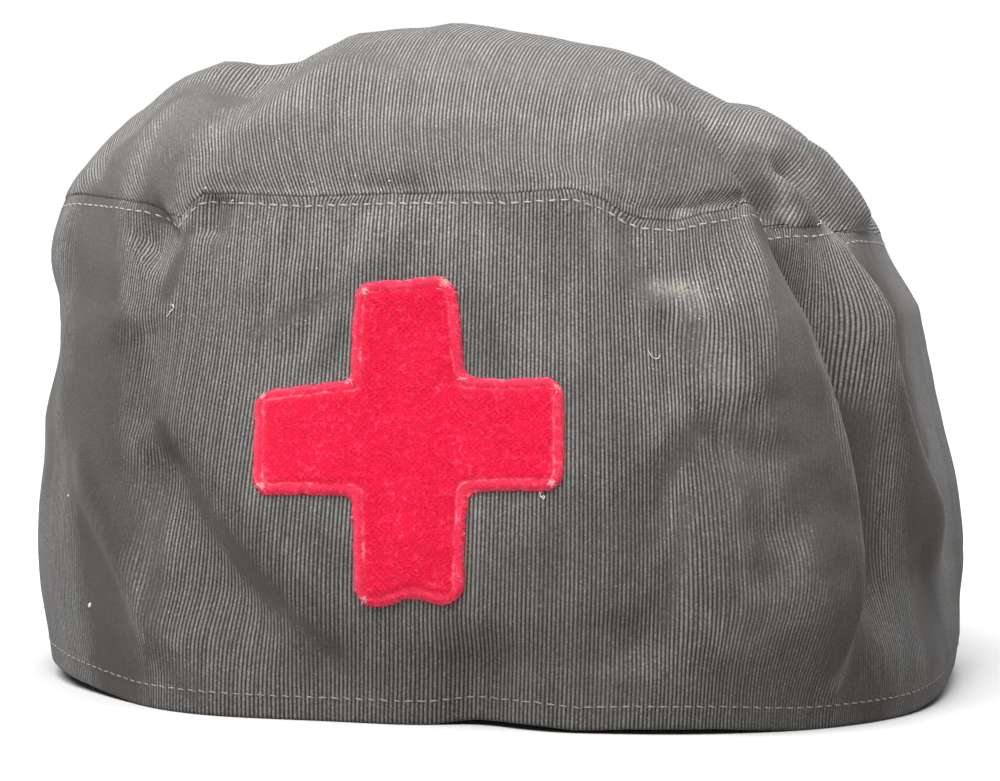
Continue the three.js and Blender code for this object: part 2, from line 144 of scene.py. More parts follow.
# Lines where the cloth is rubbed or pressed smooth, so that its ribs hardly show. Width in millimetres; a
# negative strength gives ribs back.
Worn = namedtuple("Worn", "angle level to_angle to_level width strength bow", defaults=(0.0,))
WORN = [Worn(*row) for row in (
    # The wearer's right
    (-47.2, 0.94, -41.2, 0.58, 10.3, 1), (-43.8, 0.58, -36.8, 0.35, 11, 1),
    (-38.5, 0.35, -35, 0.07, 10.6, 1), (-66, 0.97, -60, 0.5, 13, 0.9), (-61, 0.45, -68, 0.1, 13, 0.85),
    (-30.2, 0.46, -27.8, 0.13, 2.5, 0.7), (-27.2, 0.11, -22.2, 0.04, 2.8, 0.6),
    (-34, 0.93, -37, 0.82, 2.7, -1.3), (-29.2, 0.94, -31.2, 0.81, 1.8, 0.8),
    (-24.2, 0.95, -24.8, 0.89, 1.6, 0.7), (-29.8, 0.54, -21.5, 0.36, 2.3, 0.9),
    (-21.5, 0.36, -14, 0.23, 2.7, 0.9), (-14, 0.23, -7, 0.13, 2.1, 0.8), (-11.2, 0.14, -6.2, 0.1, 1.4, 0.5),
    (-19, 0.73, -10.2, 0.81, 1.6, 0.5),
    # The wearer's left
    (23.8, 0.96, 24.2, 0.9, 2.2, 0.55), (24.2, 0.9, 26.8, 0.84, 2.4, 0.55),
    (26.8, 0.84, 31.5, 0.85, 1.6, 0.5), (31, 0.81, 31.2, 0.74, 2, 0.5), (31.2, 0.74, 33.5, 0.69, 2.2, 0.45),
    (41.5, 0.97, 40.8, 0.84, 2.5, 1), (40.8, 0.84, 41, 0.68, 3.9, 1), (41, 0.68, 43, 0.49, 5.7, 1),
    (43, 0.49, 46.5, 0.17, 7.1, 0.9), (65, 0.95, 69, 0.72, 7, 1), (69, 0.72, 78, 0.55, 6, 0.9),
    (66, 0.7, 63.2, 0.64, 4.6, 1), (63.2, 0.64, 68.5, 0.14, 8, 1), (52.8, 0.58, 54, 0.32, 7.1, 1),
    (47, 0.93, 46.2, 0.76, 4.2, -1), (49.5, 0.17, 53.5, 0.06, 7.1, 0.7), (32, 0.59, 28, 0.5, 2.5, 0.7),
    (28, 0.5, 27.2, 0.37, 1.4, 0.5), (30.2, 0.45, 28, 0.21, 1.6, 0.6), (35.8, 0.58, 36.8, 0.33, 3.5, 0.6),
    (38, 0.52, 41, 0.1, 13, 0.42), (24, 0.36, 21, 0.1, 9, 0.3),
    # The crown
    (-45.2, 1.05, -43.2, 1.4, 7.1, 0.85), (-46, 1.12, -32, 1.5, 13, 0.5), (-34.8, 1.01, -35, 1.45, 6, 0.85),
    (-29, 1.35, -20, 1.51, 6.5, 0.65), (-20.5, 1.52, -2.8, 1.71, 4.5, 0.4),
    (-2.8, 1.71, 49.8, 1.63, 7, 0.38), (-20, 1.2, 30, 1.2, 14, 0.22), (30, 1.2, 66, 1.2, 16, 0.42),
    (-20, 1.55, 55, 1.5, 12, 0.46), (44.8, 1.25, 41.5, 1.01, 1.6, 0.9), (56.8, 1.18, 55, 1.01, 1.4, 0.6),
    # Round the back
    (-98, 0.9, -84, 0.15, 9, 0.55), (-136, 0.85, -124, 0.3, 8, 0.5), (174, 0.7, 163, 0.15, 10, 0.5),
    (120, 0.9, 106, 0.25, 9, 0.55), (-150, 1.15, -165, 1.6, 14, 0.3), (110, 1.2, 150, 1.5, 14, 0.3),
)]
# Lines of painted shade (negative strength, darker) and painted light (lighter than elsewhere), standing in
# for the shading of the folds, creases and seam
PAINTED_LIGHT_AND_SHADE = [Worn(*row) for row in (
    # The wearer's right
    (-38, 0.73, -31.8, 0.6, 2.8, -0.25), (-31.8, 0.6, -19.2, 0.4, 3, -0.32),
    (-19.2, 0.4, -11.2, 0.24, 3.2, -0.34), (-11.2, 0.24, -6.2, 0.13, 2.8, -0.22),
    (-24, 0.22, -13.5, 0.13, 6, -0.24), (-26, 0.41, -21, 0.22, 3.9, -0.2),
    (-44.5, 0.47, -37.2, 0.355, 1, 0.42), (-37.2, 0.355, -34.2, 0.27, 1, 0.42),
    (-34.2, 0.27, -28.5, 0.13, 1, 0.36), (-41.5, 0.48, -31.5, 0.28, 1.6, -0.2),
    (-53, 0.91, -49.8, 0.59, 1.4, -0.12), (-50.8, 0.46, -47, 0.14, 1.4, -0.15),
    # Round the cross
    (-29, 0.68, -20.5, 0.5, 6.5, -0.18), (21, 0.86, 29, 0.6, 8, -0.1), (-9, 0.74, -11, 0.68, 2.2, -0.35),
    (7, 0.81, 8.5, 0.72, 2.1, -0.25), (-13, 0.38, -6.5, 0.31, 3.5, -0.22),
    (-33.5, 0.59, -31, 0.5, 2.6, -0.22), (-49, 0.93, -43, 0.9, 4, 0.14), (21, 0.64, 23, 0.51, 6.5, -0.18),
    (23, 0.51, 15, 0.33, 5, -0.15), (2.5, 0.92, 14.5, 0.76, 7.1, 0.17), (-9.5, 0.92, 2.2, 0.97, 4.6, 0.19),
    (4.2, 0.17, 10.8, 0.18, 3.5, 0.25), (20.5, 0.98, 21.5, 0.93, 2.5, 0.3),
    # The wearer's left
    (26.8, 0.85, 31.5, 0.86, 2, 0.2), (29, 0.64, 27, 0.57, 1.5, 0.3), (30, 0.62, 31.6, 0.57, 1.6, 0.3),
    (36, 0.66, 29.5, 0.55, 2.2, 0.14), (29.5, 0.55, 27.5, 0.38, 2, 0.14), (32.2, 0.57, 33, 0.46, 3.4, -0.26),
    (33, 0.4, 32.8, 0.28, 3.5, -0.25), (42.5, 0.5, 36.8, 0.32, 3, -0.3),
    (44, 0.46, 42.2, 0.34, 2.8, -0.24), (36, 0.8, 36.6, 0.66, 4, -0.16),
    (31.2, 0.8, 33.8, 0.71, 2.8, 0.35), (42.5, 0.3, 35.2, 0.19, 4.6, 0.42),
    (26.5, 0.34, 21.2, 0.18, 2.4, 0.25), (42.2, 0.99, 46.2, 0.74, 3.2, -0.4),
    (50.2, 0.6, 51, 0.36, 1.1, 0.45), (51, 0.36, 47.8, 0.1, 1.8, 0.5), (58, 0.92, 62.2, 0.77, 0.9, 0.3),
    (62.2, 0.77, 71, 0.6, 0.9, 0.3), (58.8, 0.96, 65.2, 0.65, 2.8, -0.3),
    (59.5, 0.61, 61.2, 0.16, 4.4, -0.16), (66.2, 0.32, 76, 0.08, 2.4, -0.3),
    # The crown
    (-23.5, 1.14, -14.5, 1.2, 9, -0.28), (-14.5, 1.17, 23.2, 1.18, 11, -0.24),
    (28.2, 1.19, 37.5, 1.18, 9, -0.34), (-13, 1.38, 28.2, 1.4, 6, -0.16), (41.5, 1.39, 41.5, 1.14, 6, -0.3),
    (48.2, 1.22, 45.5, 1.04, 2, -0.6), (47.5, 1.36, 50.5, 1.24, 3.6, -0.3), (31, 1.01, 41.5, 1.03, 1.7, 0.6),
    (-33, 1, -29.5, 0.97, 1.5, 0.3), (-28, 1.004, 22, 1.004, 0.9, 0.28), (50.5, 1.1, 50.8, 1.01, 3, -0.4),
    (59, 1.28, 61.8, 1.1, 4.6, -0.25), (-42, 1.04, -36, 1.34, 4.6, 0.25),
    (-30.2, 1.41, -27.5, 1.11, 2.5, 0.1), (11.2, 1.62, 15.2, 1.33, 0.7, 0.2),
)]
PALE = [Worn(27.6, 0.86, 30.5, 0.855, 1.1, 0.55), Worn(30, 0.87, 31.5, 0.85, 0.9, 0.55)]
STAINS = [Worn(58.8, 1.23, 59.4, 1.22, 0.8, 0.6)]

# How the crown's outline, and the sides at each height, depart from the solids, in millimetres
CROWN_LINE = [
    (-85, 0.8), (-75, -1), (-65, 0.5), (-58, 0.8), (-50, -2.4), (-44, -2.4), (-39, -1.6), (-34, -0.7),
    (-28, -1.3), (-18, -2), (-13, -1.4), (0, -2), (12, -2), (20, -1.2), (28, -0.8), (36, -2.5), (43, -2.4),
    (50, 0.4), (57, 1.6), (62, 0.5), (66, 0), (74, -0.8), (85, 0.8),
]
LEFT_LINE = [
    (0, 2.1), (8, 1.6), (16, 1), (33, 0.9), (41, 1.1), (45, 0.8), (50, 0), (66, -0.4), (70, 0.2), (74, 1.4),
    (82, 2), (90, 2.2), (94, 2.7), (99, 3.7), (103, 3.7), (107, 3.5), (111, 2.5), (120, 1), (130, 0),
]
RIGHT_LINE = [
    (0, 2.9), (5, 3.1), (9, 3), (13, 2.2), (17, 1), (21, 0.1), (26, -1), (34, -1.4), (42, -1.6), (50, -2),
    (58, -1.8), (66, -0.8), (71, 0.5), (75, 1.9), (79, 1.8), (87, 1), (91, 1), (95, 0.2), (99, 0.3),
    (105, 0), (130, 0),
]

# Where each line begins to count, and over how much it grows: levels, and shares of the half width
CROWN_LINE_FROM = (1.02, 0.35)
SIDE_LINES_FROM = (0.62, 0.28)
# How far the sides' near half stands in at the hem, and the far half out, and up to where, in millimetres
NEAR_TUCK = 2.5
TUCK_HEIGHT = 60.0
VIEW_AZIMUTH = 10.7
VIEW_RIGHT = (math.cos(math.radians(VIEW_AZIMUTH)), math.sin(math.radians(VIEW_AZIMUTH)), 0.0)
TOWARDS_VIEW = (math.sin(math.radians(VIEW_AZIMUTH)), -math.cos(math.radians(VIEW_AZIMUTH)), 0.0)

# Waves of the cloth: height and length in millimetres, and reach as a share of the band's height
PUCKER_HEIGHT = 0.55
PUCKER_LENGTH = 3.4
PUCKER_REACH = 0.045
BROAD_WAVE = (0.75, 26.0)
FINE_WAVE = (0.3, 9.0)
SAG_REACH = 0.13
HEM_REACH = 0.4
HEM_CALM = 0.08
BAND_SLOWNESS = 0.45  # the waves are longer up and down the band than round it


def smooth(values):
    """The usual smooth step from 0 to 1."""
    held = np.clip(values, 0.0, 1.0)
    return held * held * (3.0 - 2.0 * held)


def between(low, high, count):
    """Even steps, without the last one."""
    return [low + (high - low) * k / count for k in range(count)]


def unit(vectors, least=0.0):
    """Vectors at length 1."""
    return vectors / np.maximum(np.linalg.norm(vectors, axis=-1, keepdims=True), least)


def waver(x, y, z):
    """Smooth noise at a place."""
    return noise.noise(Vector((x, y, z)))


def half_turned(angle):
    """Angles from -180 to 180 degrees."""
    return (angle + 180.0) % 360.0 - 180.0


# The smooth cap, in arrays of millimetres

NEARLY_TOP = 1.999
TURNS_UP = 0.15  # over how much above the seam the way out starts to lean up


def section_shares(angle):
    """The sections' columns at each angle, on a smooth closed curve through the rows."""
    table = np.array([row[1:] for row in SECTIONS])
    count = len(SECTIONS)
    place = (np.asarray(angle) - SECTIONS[0].angle) / (360.0 / count) % count
    row = np.floor(place).astype(int)
    t = (place - row)[..., None]
    p0, p1, p2, p3 = (table[(row + k) % count] for k in (-1, 0, 1, 2))
    bend = 2 * p0 - 5 * p1 + 4 * p2 - p3 + t * (3 * (p1 - p2) + p3 - p0)
    return p1 + 0.5 * t * (p2 - p0 + t * bend)


def band_share(shares, level):
    """Reach up the band: a smooth curve through the shares at the profile's levels."""
    steps = np.diff(PROFILE_LEVELS)
    slopes = [(shares[..., k + 1] - shares[..., k]) / steps[k] for k in range(3)]
    inner = [
        (steps[k + 1] * slopes[k] + steps[k] * slopes[k + 1]) / (steps[k] + steps[k + 1]) for k in range(2)
    ]
    tangents = [slopes[0], inner[0], inner[1], slopes[2]]
    result = shares[..., 3].copy()
    for k in range(3):
        t = (level - PROFILE_LEVELS[k]) / steps[k]
        curve = (
            (2 * t**3 - 3 * t**2 + 1) * shares[..., k]
            + (t**3 - 2 * t**2 + t) * steps[k] * tangents[k]
            + (3 * t**2 - 2 * t**3) * shares[..., k + 1]
            + (t**3 - t**2) * steps[k] * tangents[k + 1]
        )
        result = np.where((t >= 0) & (t < 1), curve, result)
    return result


def plan_radius(angle):
    turn = np.radians(angle)
    across = np.abs(np.sin(turn) / RIM_HALF_WIDTH) ** PLAN_SQUARENESS
    along = np.abs(np.cos(turn) / RIM_HALF_DEPTH) ** PLAN_SQUARENESS
    return (across + along) ** (-1.0 / PLAN_SQUARENESS)


def smooth_points(angle, level):
    """Points of the cap without its folds."""
    angle, level = np.broadcast_arrays(np.asarray(angle, float), np.asarray(level, float))
    shares = section_shares(angle)
    turn = np.radians(angle)
    seam_height = BAND_HEIGHT * shares[..., 4]
    climb = np.clip(level - 1.0, 0.0, 1.0) * math.pi / 2
    power = 2.0 / shares[..., 5]
    lean = np.sin(climb) ** power
    crown_reach = shares[..., 3] * np.clip(np.cos(climb), 0.0, 1.0) ** power
    band_reach = band_share(shares[..., :4], np.clip(level, 0.0, 1.0))
    reach = plan_radius(angle) * np.where(level <= 1.0, band_reach, crown_reach)
    rise = (BAND_HEIGHT + CROWN_RISE - seam_height) * lean
    height = np.where(level <= 1.0, seam_height * level, seam_height + rise)
    x = reach * np.sin(turn) + TOP_SHIFT[0] * lean
    y = -reach * np.cos(turn) + TOP_SHIFT[1] * lean
    return np.stack([x, y, height], -1)


def outward_of(angle, level):
    """Which way is out: level in the band, so that the hem stays on the ground."""
    nudge = 0.01
    here = smooth_points(angle, level)
    across = smooth_points(angle + nudge, level) - here
    up = smooth_points(angle, np.minimum(level + nudge, NEARLY_TOP)) - smooth_points(angle, level - nudge)
    outward = np.cross(across, up)
    outward[..., 2] *= smooth((level - 1.0) / TURNS_UP)
    outward = unit(outward, 1e-12)
    outward[level >= NEARLY_TOP] = (0.0, 0.0, 1.0)
    return outward


def fold_line(fold, steps=12):
    """A fold's line on the smooth cap."""
    per_degree = math.radians(RIM_HALF_WIDTH)
    start = np.array([fold.angle * per_degree, fold.level * BAND_HEIGHT])
    end = np.array([fold.to_angle * per_degree, fold.to_level * BAND_HEIGHT])
    along = end - start
    aside = np.array([-along[1], along[0]]) * fold.bow
    t = np.linspace(0.0, 1.0, steps + 1)[:, None]
    line = start + along * t + aside * 4 * t * (1 - t)
    return smooth_points(line[:, 0] / per_degree, line[:, 1] / BAND_HEIGHT)


def along_line(points, fold):
    """Which points are near a line, and for those their distance, share along it, way from it and its way."""
    line = fold_line(fold)
    width = FOLD_WIDTH * max(fold.before, fold.after) if isinstance(fold, Fold) else fold.width
    reach = 3.0 * width
    near = np.all((points > line.min(0) - reach) & (points < line.max(0) + reach), axis=-1)
    at = points[near]
    best = np.full(len(at), np.inf)
    share = np.zeros(len(at))
    away = np.zeros_like(at)
    way = np.zeros_like(at)
    for k in range(len(line) - 1):
        stretch = line[k + 1] - line[k]
        part = np.clip((at - line[k]) @ stretch / (stretch @ stretch), 0.0, 1.0)
        off = at - line[k] - part[:, None] * stretch
        distance = np.linalg.norm(off, axis=1)
        closer = distance < best
        best = np.where(closer, distance, best)
        share = np.where(closer, (k + part) / (len(line) - 1), share)
        away = np.where(closer[:, None], off, away)
        way = np.where(closer[:, None], stretch / np.linalg.norm(stretch), way)
    return near, best, share, away, way


def fold_push(points, outward, folds):
    """How far the folds move points of the smooth cap, as vectors."""
    push = np.zeros_like(points)
    for fold in folds:
        near, best, share, away, way = along_line(points, fold)
        out = outward[near]
        sideways = np.cross(out, way)
        after = np.sum(away * sideways, -1) > 0
        width = FOLD_WIDTH * np.where(after, fold.after, fold.before)
        taper = smooth(4.0 * np.minimum(share, 1.0 - share))
        swell = FOLD_DEPTH * taper * np.exp(-((best / width) ** 2))
        push[near] += swell[:, None] * (fold.rise * out + fold.lap * sideways)
    return push


def stroke_cover(points, lines):
    """How far strokes along lines cover points of the smooth cap. Where they cross, the strongest counts."""
    raised, lowered = np.zeros(len(points)), np.zeros(len(points))
    for line in lines:
        near, best, _, _, _ = along_line(points, line)
        cover = line.strength * smooth(1.25 - 0.75 * best / line.width)
        raised[near] = np.maximum(raised[near], cover)
        lowered[near] = np.minimum(lowered[near], cover)
    return raised + lowered


def sag_drop(angle, level):
    """How far the seam's sags lower the cloth near it."""
    drop = np.interp(half_turned(angle), *zip(*SEAM_LINE))
    return drop * np.exp(-(((level - 1.0) / SAG_REACH) ** 2)) * smooth(level / 0.3)


def hem_lift(angle):
    """How far the soft hem stands off the ground."""
    return np.interp(half_turned(angle), *zip(*HEM_LINE))


def pucker_height(angle, level):
    """Ripples that the sewing draws into the seam."""
    round_it = angle.reshape(-1) * math.radians(RIM_HALF_WIDTH)
    ripple = np.array([waver(r / PUCKER_LENGTH, 0.0, 40.0) for r in round_it]).reshape(angle.shape)
    return PUCKER_HEIGHT * ripple * np.exp(-(((level - 0.995) / PUCKER_REACH) ** 2))


def wrinkle_height(points, level):
    """Small uneven waves that cloth has everywhere."""
    height = points[..., 2].reshape(-1)
    slow = BAND_SLOWNESS * np.minimum(height, BAND_HEIGHT) + np.maximum(height - BAND_HEIGHT, 0.0)
    (broad, wide), (fine, near) = BROAD_WAVE, FINE_WAVE
    waves = [
        broad * waver(x / wide, y / wide, z / wide + 7.0) + fine * waver(x / near + 31.0, y / near, z / near)
        for (x, y, _), z in zip(points.reshape(-1, 3), slow)
    ]
    return np.array(waves).reshape(level.shape)


def settle(points, level):
    """The way this cap sits: its crown's outline and its sides, seen from the front."""
    aside = points @ VIEW_RIGHT
    (crown_from, crown_over), (side_from, side_over) = CROWN_LINE_FROM, SIDE_LINES_FROM
    lift = np.interp(aside, *zip(*CROWN_LINE)) * smooth((level - crown_from) / crown_over)
    edge = smooth((np.abs(aside) / RIM_HALF_WIDTH - side_from) / side_over)
    left = np.interp(points[..., 2], *zip(*LEFT_LINE))
    right_side = np.interp(points[..., 2], *zip(*RIGHT_LINE))
    towards = points @ TOWARDS_VIEW / RIM_HALF_DEPTH
    tuck = NEAR_TUCK * towards * smooth(1.2 - points[..., 2] / TUCK_HEIGHT)
    shove = np.where(aside < 0, left + tuck, right_side - tuck) * edge
    settled = points + shove[..., None] * np.array(VIEW_RIGHT)
    settled[..., 2] += lift
    return settled


def cap_points(angle, level):
    """Points of the folded cap, and which way is out before the folds."""
    base = smooth_points(angle, level)
    outward = outward_of(angle, level)
    flat, out = base.reshape(-1, 3), outward.reshape(-1, 3)
    push = fold_push(flat, out, FOLDS + CREASES).reshape(base.shape)
    held = smooth(level / HEM_CALM)
    swell = wrinkle_height(base, level) * (0.35 + 0.65 * held) + pucker_height(angle, level)
    points = base + push + swell[..., None] * outward
    points[..., 2] += hem_lift(angle) * smooth(1.0 - level / HEM_REACH) - sag_drop(angle, level)
    return settle(points, level), outward


# Facets of the dressed cap
COLUMNS = 384
COLUMN_CROWDING = 0.4
CROWDED_ANGLE = 30.0
HEM_ROWS = 8.0  # the height up to which rows lie close, in millimetres
SEAM_ROWS = 86.0  # the height from which they lie close again
CROWN_TIP = 1.93  # the level where the crown's rows close up
PAINTED_LIGHT_AND_SHADE_LIMITS = (-0.7, 0.8)

# The sewing, in millimetres
CLOTH = 0.6  # thickness
CROWN_PROUD = 0.15  # how far the crown stands out over the band's edge
TURN = 0.38  # radius of the cloth's middle where it is folded flat
TOPSTITCH = 2.2  # below the seam's edge
STRIP_LEAN = 2.4  # how far the sewing draws the ribs aside over the topstitch
STRIP_WAVE = 14.0
HEM_STITCH = 4.4  # above the ground
HEM_INSIDE = (6.4, 5.6, 4.6, 3.6, 2.6, 1.6)  # rows of the turned-up hem, above the ground
BAND_INSIDE = (1.4, 2.4, 3.4, 4.4, 5.2)  # rows of the band's turned-in edge, below the seam
CROWN_INSIDE = (5.6, 4.2, 2.8, 1.4, 0.8)  # rows of the crown's edge, below the seam
TUCK_GAP = 0.1  # between the crown's edge and the band's
CROWN_FREED = (0.65, 0.5)  # where the crown comes out of the seam, and over how much


class Net:
    """The cap's cloth, in metres, on a net of angles all the way round and levels, with its marks of wear and
    stains, and its painted light and shade.
    """

    def __init__(self, angles, levels):
        self.angles, self.levels = np.asarray(angles), np.asarray(levels)
        angle, level = np.meshgrid(self.angles[:-1], self.levels)
        points, outward = cap_points(angle, level)
        across = np.roll(points, -1, 1) - np.roll(points, 1, 1)
        normals = np.cross(across, np.gradient(points, axis=0))
        normals[level <= 1.0, 2] = 0.0
        normals = np.where((level > CROWN_TIP)[..., None], outward, unit(normals, 1e-9))
        self.points = self.closed(points) * MM + SHIFT
        self.normals = self.closed(normals)
        flat = smooth_points(angle, level).reshape(-1, 3)
        marks = {
            "rib_show": np.clip(1.0 - stroke_cover(flat, WORN), 0.0, 1.0),
            # tone: painted light and shade along the strokes
            "tone": np.clip(stroke_cover(flat, PAINTED_LIGHT_AND_SHADE), *PAINTED_LIGHT_AND_SHADE_LIMITS),
            "pale": np.clip(stroke_cover(flat, PALE), 0.0, 1.0),
            "stain": np.clip(stroke_cover(flat, STAINS), 0.0, 1.0),
        }
        self.marks = {name: self.closed(mark.reshape(level.shape)) for name, mark in marks.items()}

    @staticmethod
    def closed(array):
        return np.concatenate([array, array[:, :1]], 1)

    def at(self, level):
        return int(np.argmin(np.abs(self.levels - level)))

    def row(self, level, inset=0.0, lift=0.0):
        """One ring of the net, moved inwards and up, in millimetres."""
        k = self.at(level)
        return self.points[k] - self.normals[k] * (inset * MM) + (0.0, 0.0, lift * MM)

    def sheet(self, steps):
        """Rings stacked from (level, inset, lift) steps, and their marks."""
        places = np.stack([self.row(*step) for step in steps])
        rows = [self.at(step[0]) for step in steps]
        return places, {name: mark[rows] for name, mark in self.marks.items()}


def solid_shift():
    """From the shape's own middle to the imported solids' origin."""
    angle, level = np.meshgrid(np.arange(-180.0, 180.0, 3.0), np.linspace(0.0, 1.0, 30))
    base = smooth_points(angle, level)
    push = fold_push(base.reshape(-1, 3), outward_of(angle, level).reshape(-1, 3), FOLDS)
    own = base.reshape(-1, 3) + push
    low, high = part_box("side_band")
    middle = (own.min(0) + own.max(0)) / 2 * MM
    return np.array([(low[0] + high[0]) / 2 - middle[0], (low[1] + high[1]) / 2 - middle[1], 0.0])


SHIFT = solid_shift()


def column_angles(count):
    """Angles all the way round, closest at the wearer's left, where the pleats are."""
    even = np.arange(count + 1) * 360.0 / count - 180.0
    return even - np.degrees(COLUMN_CROWDING * np.sin(np.radians(even - CROWDED_ANGLE)))


def up(height):
    """The level of a height in millimetres."""
    return height / BAND_HEIGHT


@cache
def cap_net():
    """The net of the whole cap. Its rows lie closest at the hem and the seam."""
    edge = CLOTH / 2 + TURN
    band = (
        between(up(edge), up(HEM_ROWS), 14)
        + between(up(HEM_ROWS), up(SEAM_ROWS), 58)
        + between(up(SEAM_ROWS), 1.0 - up(edge), 16)
        + [1.0 - up(edge)]
    )
    crown = [1.0 - up(depth) for depth in (0.6, 0.45, 0.3, 0.15)]
    crown += [1.0, 1.002, 1.005, 1.01, 1.016, 1.023] + between(1.031, 1.14, 14)
    crown += between(1.14, CROWN_TIP, 40) + [CROWN_TIP, 1.955, 1.975, 1.99, 2.0]
    return Net(column_angles(COLUMNS), [0.0] + band + crown)


def linked(name, data):
    """A new object of the scene."""
    made = bpy.data.objects.new(name, data)
    bpy.context.scene.collection.objects.link(made)
    return made


def make_object(name, bm, material):
    """A finished bmesh as an object of the scene, smoothly shaded."""
    mesh = bpy.data.meshes.new(name)
    bm.to_mesh(mesh)
    bm.free()
    mesh.materials.append(material)
    mesh.polygons.foreach_set("use_smooth", [True] * len(mesh.polygons))
    return linked(name, mesh)


def turned(way, ahead, above):
    """The rotation that lays one axis along a direction."""
    return Vector(way).to_track_quat(ahead, above).to_matrix().to_4x4()


def cloth_sheet(places, flat, marks):
    """A bmesh grid laid through rows of places, with its flat cut as its UV map and marks as attributes."""
    rows, columns = places.shape[:2]
    bm = bmesh.new()
    flat_layer = bm.loops.layers.uv.new("flat_cut")
    mark_layers = {name: bm.verts.layers.float.new(name) for name in marks}
    bmesh.ops.create_grid(bm, x_segments=columns - 1, y_segments=rows - 1, size=0.5)
    flats = {}
    for vert in bm.verts:
        i = round((vert.co.x + 0.5) * (columns - 1))
        j = round((vert.co.y + 0.5) * (rows - 1))
        flats[vert] = flat[j, i]
        vert.co = places[j, i]
        for name, layer in mark_layers.items():
            vert[layer] = marks[name][j, i]
    lay_flat(bm, flat_layer, flats)
    return bm


def lay_flat(bm, layer, flats):
    """Gives each corner of the faces the flat place of its vertex."""
    for face in bm.faces:
        for loop in face.loops:
            loop[layer].uv = flats[loop.vert]


def thicken(piece, thickness, offset=0.0):
    wall = piece.modifiers.new("cloth_thickness", "SOLIDIFY")
    wall.thickness = thickness
    wall.offset = offset
    wall.use_even_offset = False


def arc_lengths(places, axis):
    """Length along a net of places, from the first, in metres."""
    steps = np.linalg.norm(np.diff(places, axis=axis), axis=-1)
    start = np.zeros_like(np.take(steps, [0], axis))
    return np.concatenate([start, np.cumsum(steps, axis)], axis)


# Shader nodes as expressions


def maths(operation, reflected=False):
    """A method that adds one Math node, with its own socket second if it is reflected."""

    def add(self, other):
        first, second = (other, self) if reflected else (self, other)
        return self.finish.math(operation, first, second)

    return add


class Signal:
    """A socket that takes part in Python arithmetic, which adds the Math nodes."""

    def __init__(self, finish, socket):
        self.finish, self.socket = finish, socket

    __add__, __radd__ = maths("ADD"), maths("ADD", True)
    __sub__, __rsub__ = maths("SUBTRACT"), maths("SUBTRACT", True)
    __mul__, __rmul__ = maths("MULTIPLY"), maths("MULTIPLY", True)
    __truediv__, __pow__ = maths("DIVIDE"), maths("POWER")


class Nodes:
    """A node tree that expressions add to."""

    def __init__(self, owner):
        owner.use_nodes = True
        self.tree = owner.node_tree
        self.tree.nodes.clear()

    def node(self, kind, settings=None, output=0, **sockets):
        """Adds a node: its settings, then its sockets' values or links, by name or by number as _0, _1."""
        made = self.tree.nodes.new(kind)
        for key, value in (settings or {}).items():
            setattr(made, key, value)
        for key, value in sockets.items():
            socket = made.inputs[int(key[1:]) if key[0] == "_" else key.replace("_", " ")]
            if isinstance(value, Signal):
                self.tree.links.new(value.socket, socket)
            else:
                socket.default_value = value
        return Signal(self, made.outputs[output]) if made.outputs else None

    def parts(self, vector):
        """A vector's three numbers."""
        first = self.node("ShaderNodeSeparateXYZ", _0=vector)
        return [Signal(self, socket) for socket in first.socket.node.outputs]

    def math(self, operation, first, second=0.0, clamp=False):
        settings = {"operation": operation, "use_clamp": clamp}
        return self.node("ShaderNodeMath", settings, _0=first, _1=second)

    def clamp(self, value):
        return self.math("ADD", value, 0.0, clamp=True)

    def mix(self, factor, first, second, blend="MIX"):
        """A colour between two, or the first blended with the second."""
        settings = {"data_type": "RGBA", "blend_type": blend}
        first, second = (part if isinstance(part, Signal) else (*part, 1.0) for part in (first, second))
        return self.node("ShaderNodeMix", settings, 2, _0=factor, _6=first, _7=second)

    def scaled(self, colour, factor):
        """A colour made lighter or darker."""
        return self.node("ShaderNodeVectorMath", {"operation": "SCALE"}, _0=colour, Scale=factor)


class Finish(Nodes):
    """A material."""

    def __init__(self, name):
        self.material = bpy.data.materials.new(name)
        super().__init__(self.material)

    def flat_cut(self):
        """The flat cloth's two coordinates, in metres: across the ribs and along them."""
        return self.parts(self.node("ShaderNodeUVMap", {"uv_map": "flat_cut"}))[:2]

    def place(self):
        """Object coordinates, in metres."""
        return self.node("ShaderNodeTexCoord", output="Object")

    def joined(self, x, y, z):
        return self.node("ShaderNodeCombineXYZ", _0=x, _1=y, _2=z)

    def noise(self, vector, scale, detail=2.0, roughness=0.5):
        sockets = {"Vector": vector, "Scale": scale, "Detail": detail, "Roughness": roughness}
        return self.node("ShaderNodeTexNoise", **sockets)

    def mark(self, name):
        """A float attribute of the piece."""
        return self.node("ShaderNodeAttribute", {"attribute_name": name}, "Fac")

    def bump(self, height, distance):
        return self.node("ShaderNodeBump", Height=height, Distance=distance, Strength=1.0)

    def surface(self, **sockets):
        """The Principled surface. Names are its sockets' names."""
        self.node("ShaderNodeOutputMaterial", Surface=self.node("ShaderNodeBsdfPrincipled", **sockets))
        return self.material


# Noise scales, per metre
PAPER_SCALE = 9.0
SOIL_SCALE = 22.0
PATCH_SCALE = 60.0
BRUSHED_SCALE = 170.0
TINT_SCALE = 700.0
FLECK_SCALE = 1000.0
THREAD_SCALE = 2400.0
GRAIN_SCALE = 2600.0
# Along the ribs, and how far they wander, in ribs
BEAD_SCALE = 2300.0
STREAK_SCALE = 240.0
RIB_WANDER = 1.2
CROSS_STITCH_INSET = 1.9  # the velvet's sewn line, inside its edge, in millimetres
# Depths of relief, and widths on the velvet, in metres
CLOTH_RELIEF = 0.00018
VELVET_RELIEF = 0.0004
THREAD_RELIEF = 0.0001
VELVET_WEAVE = 0.0011
VELVET_RIM = 0.0026
CREASE_WIDTH = 0.00022
CREASE_WANDER = 0.0008
CREASE_FADES = 0.00046  # the square of how far up and down the crease shows
RUBBED_EDGE = 0.0006


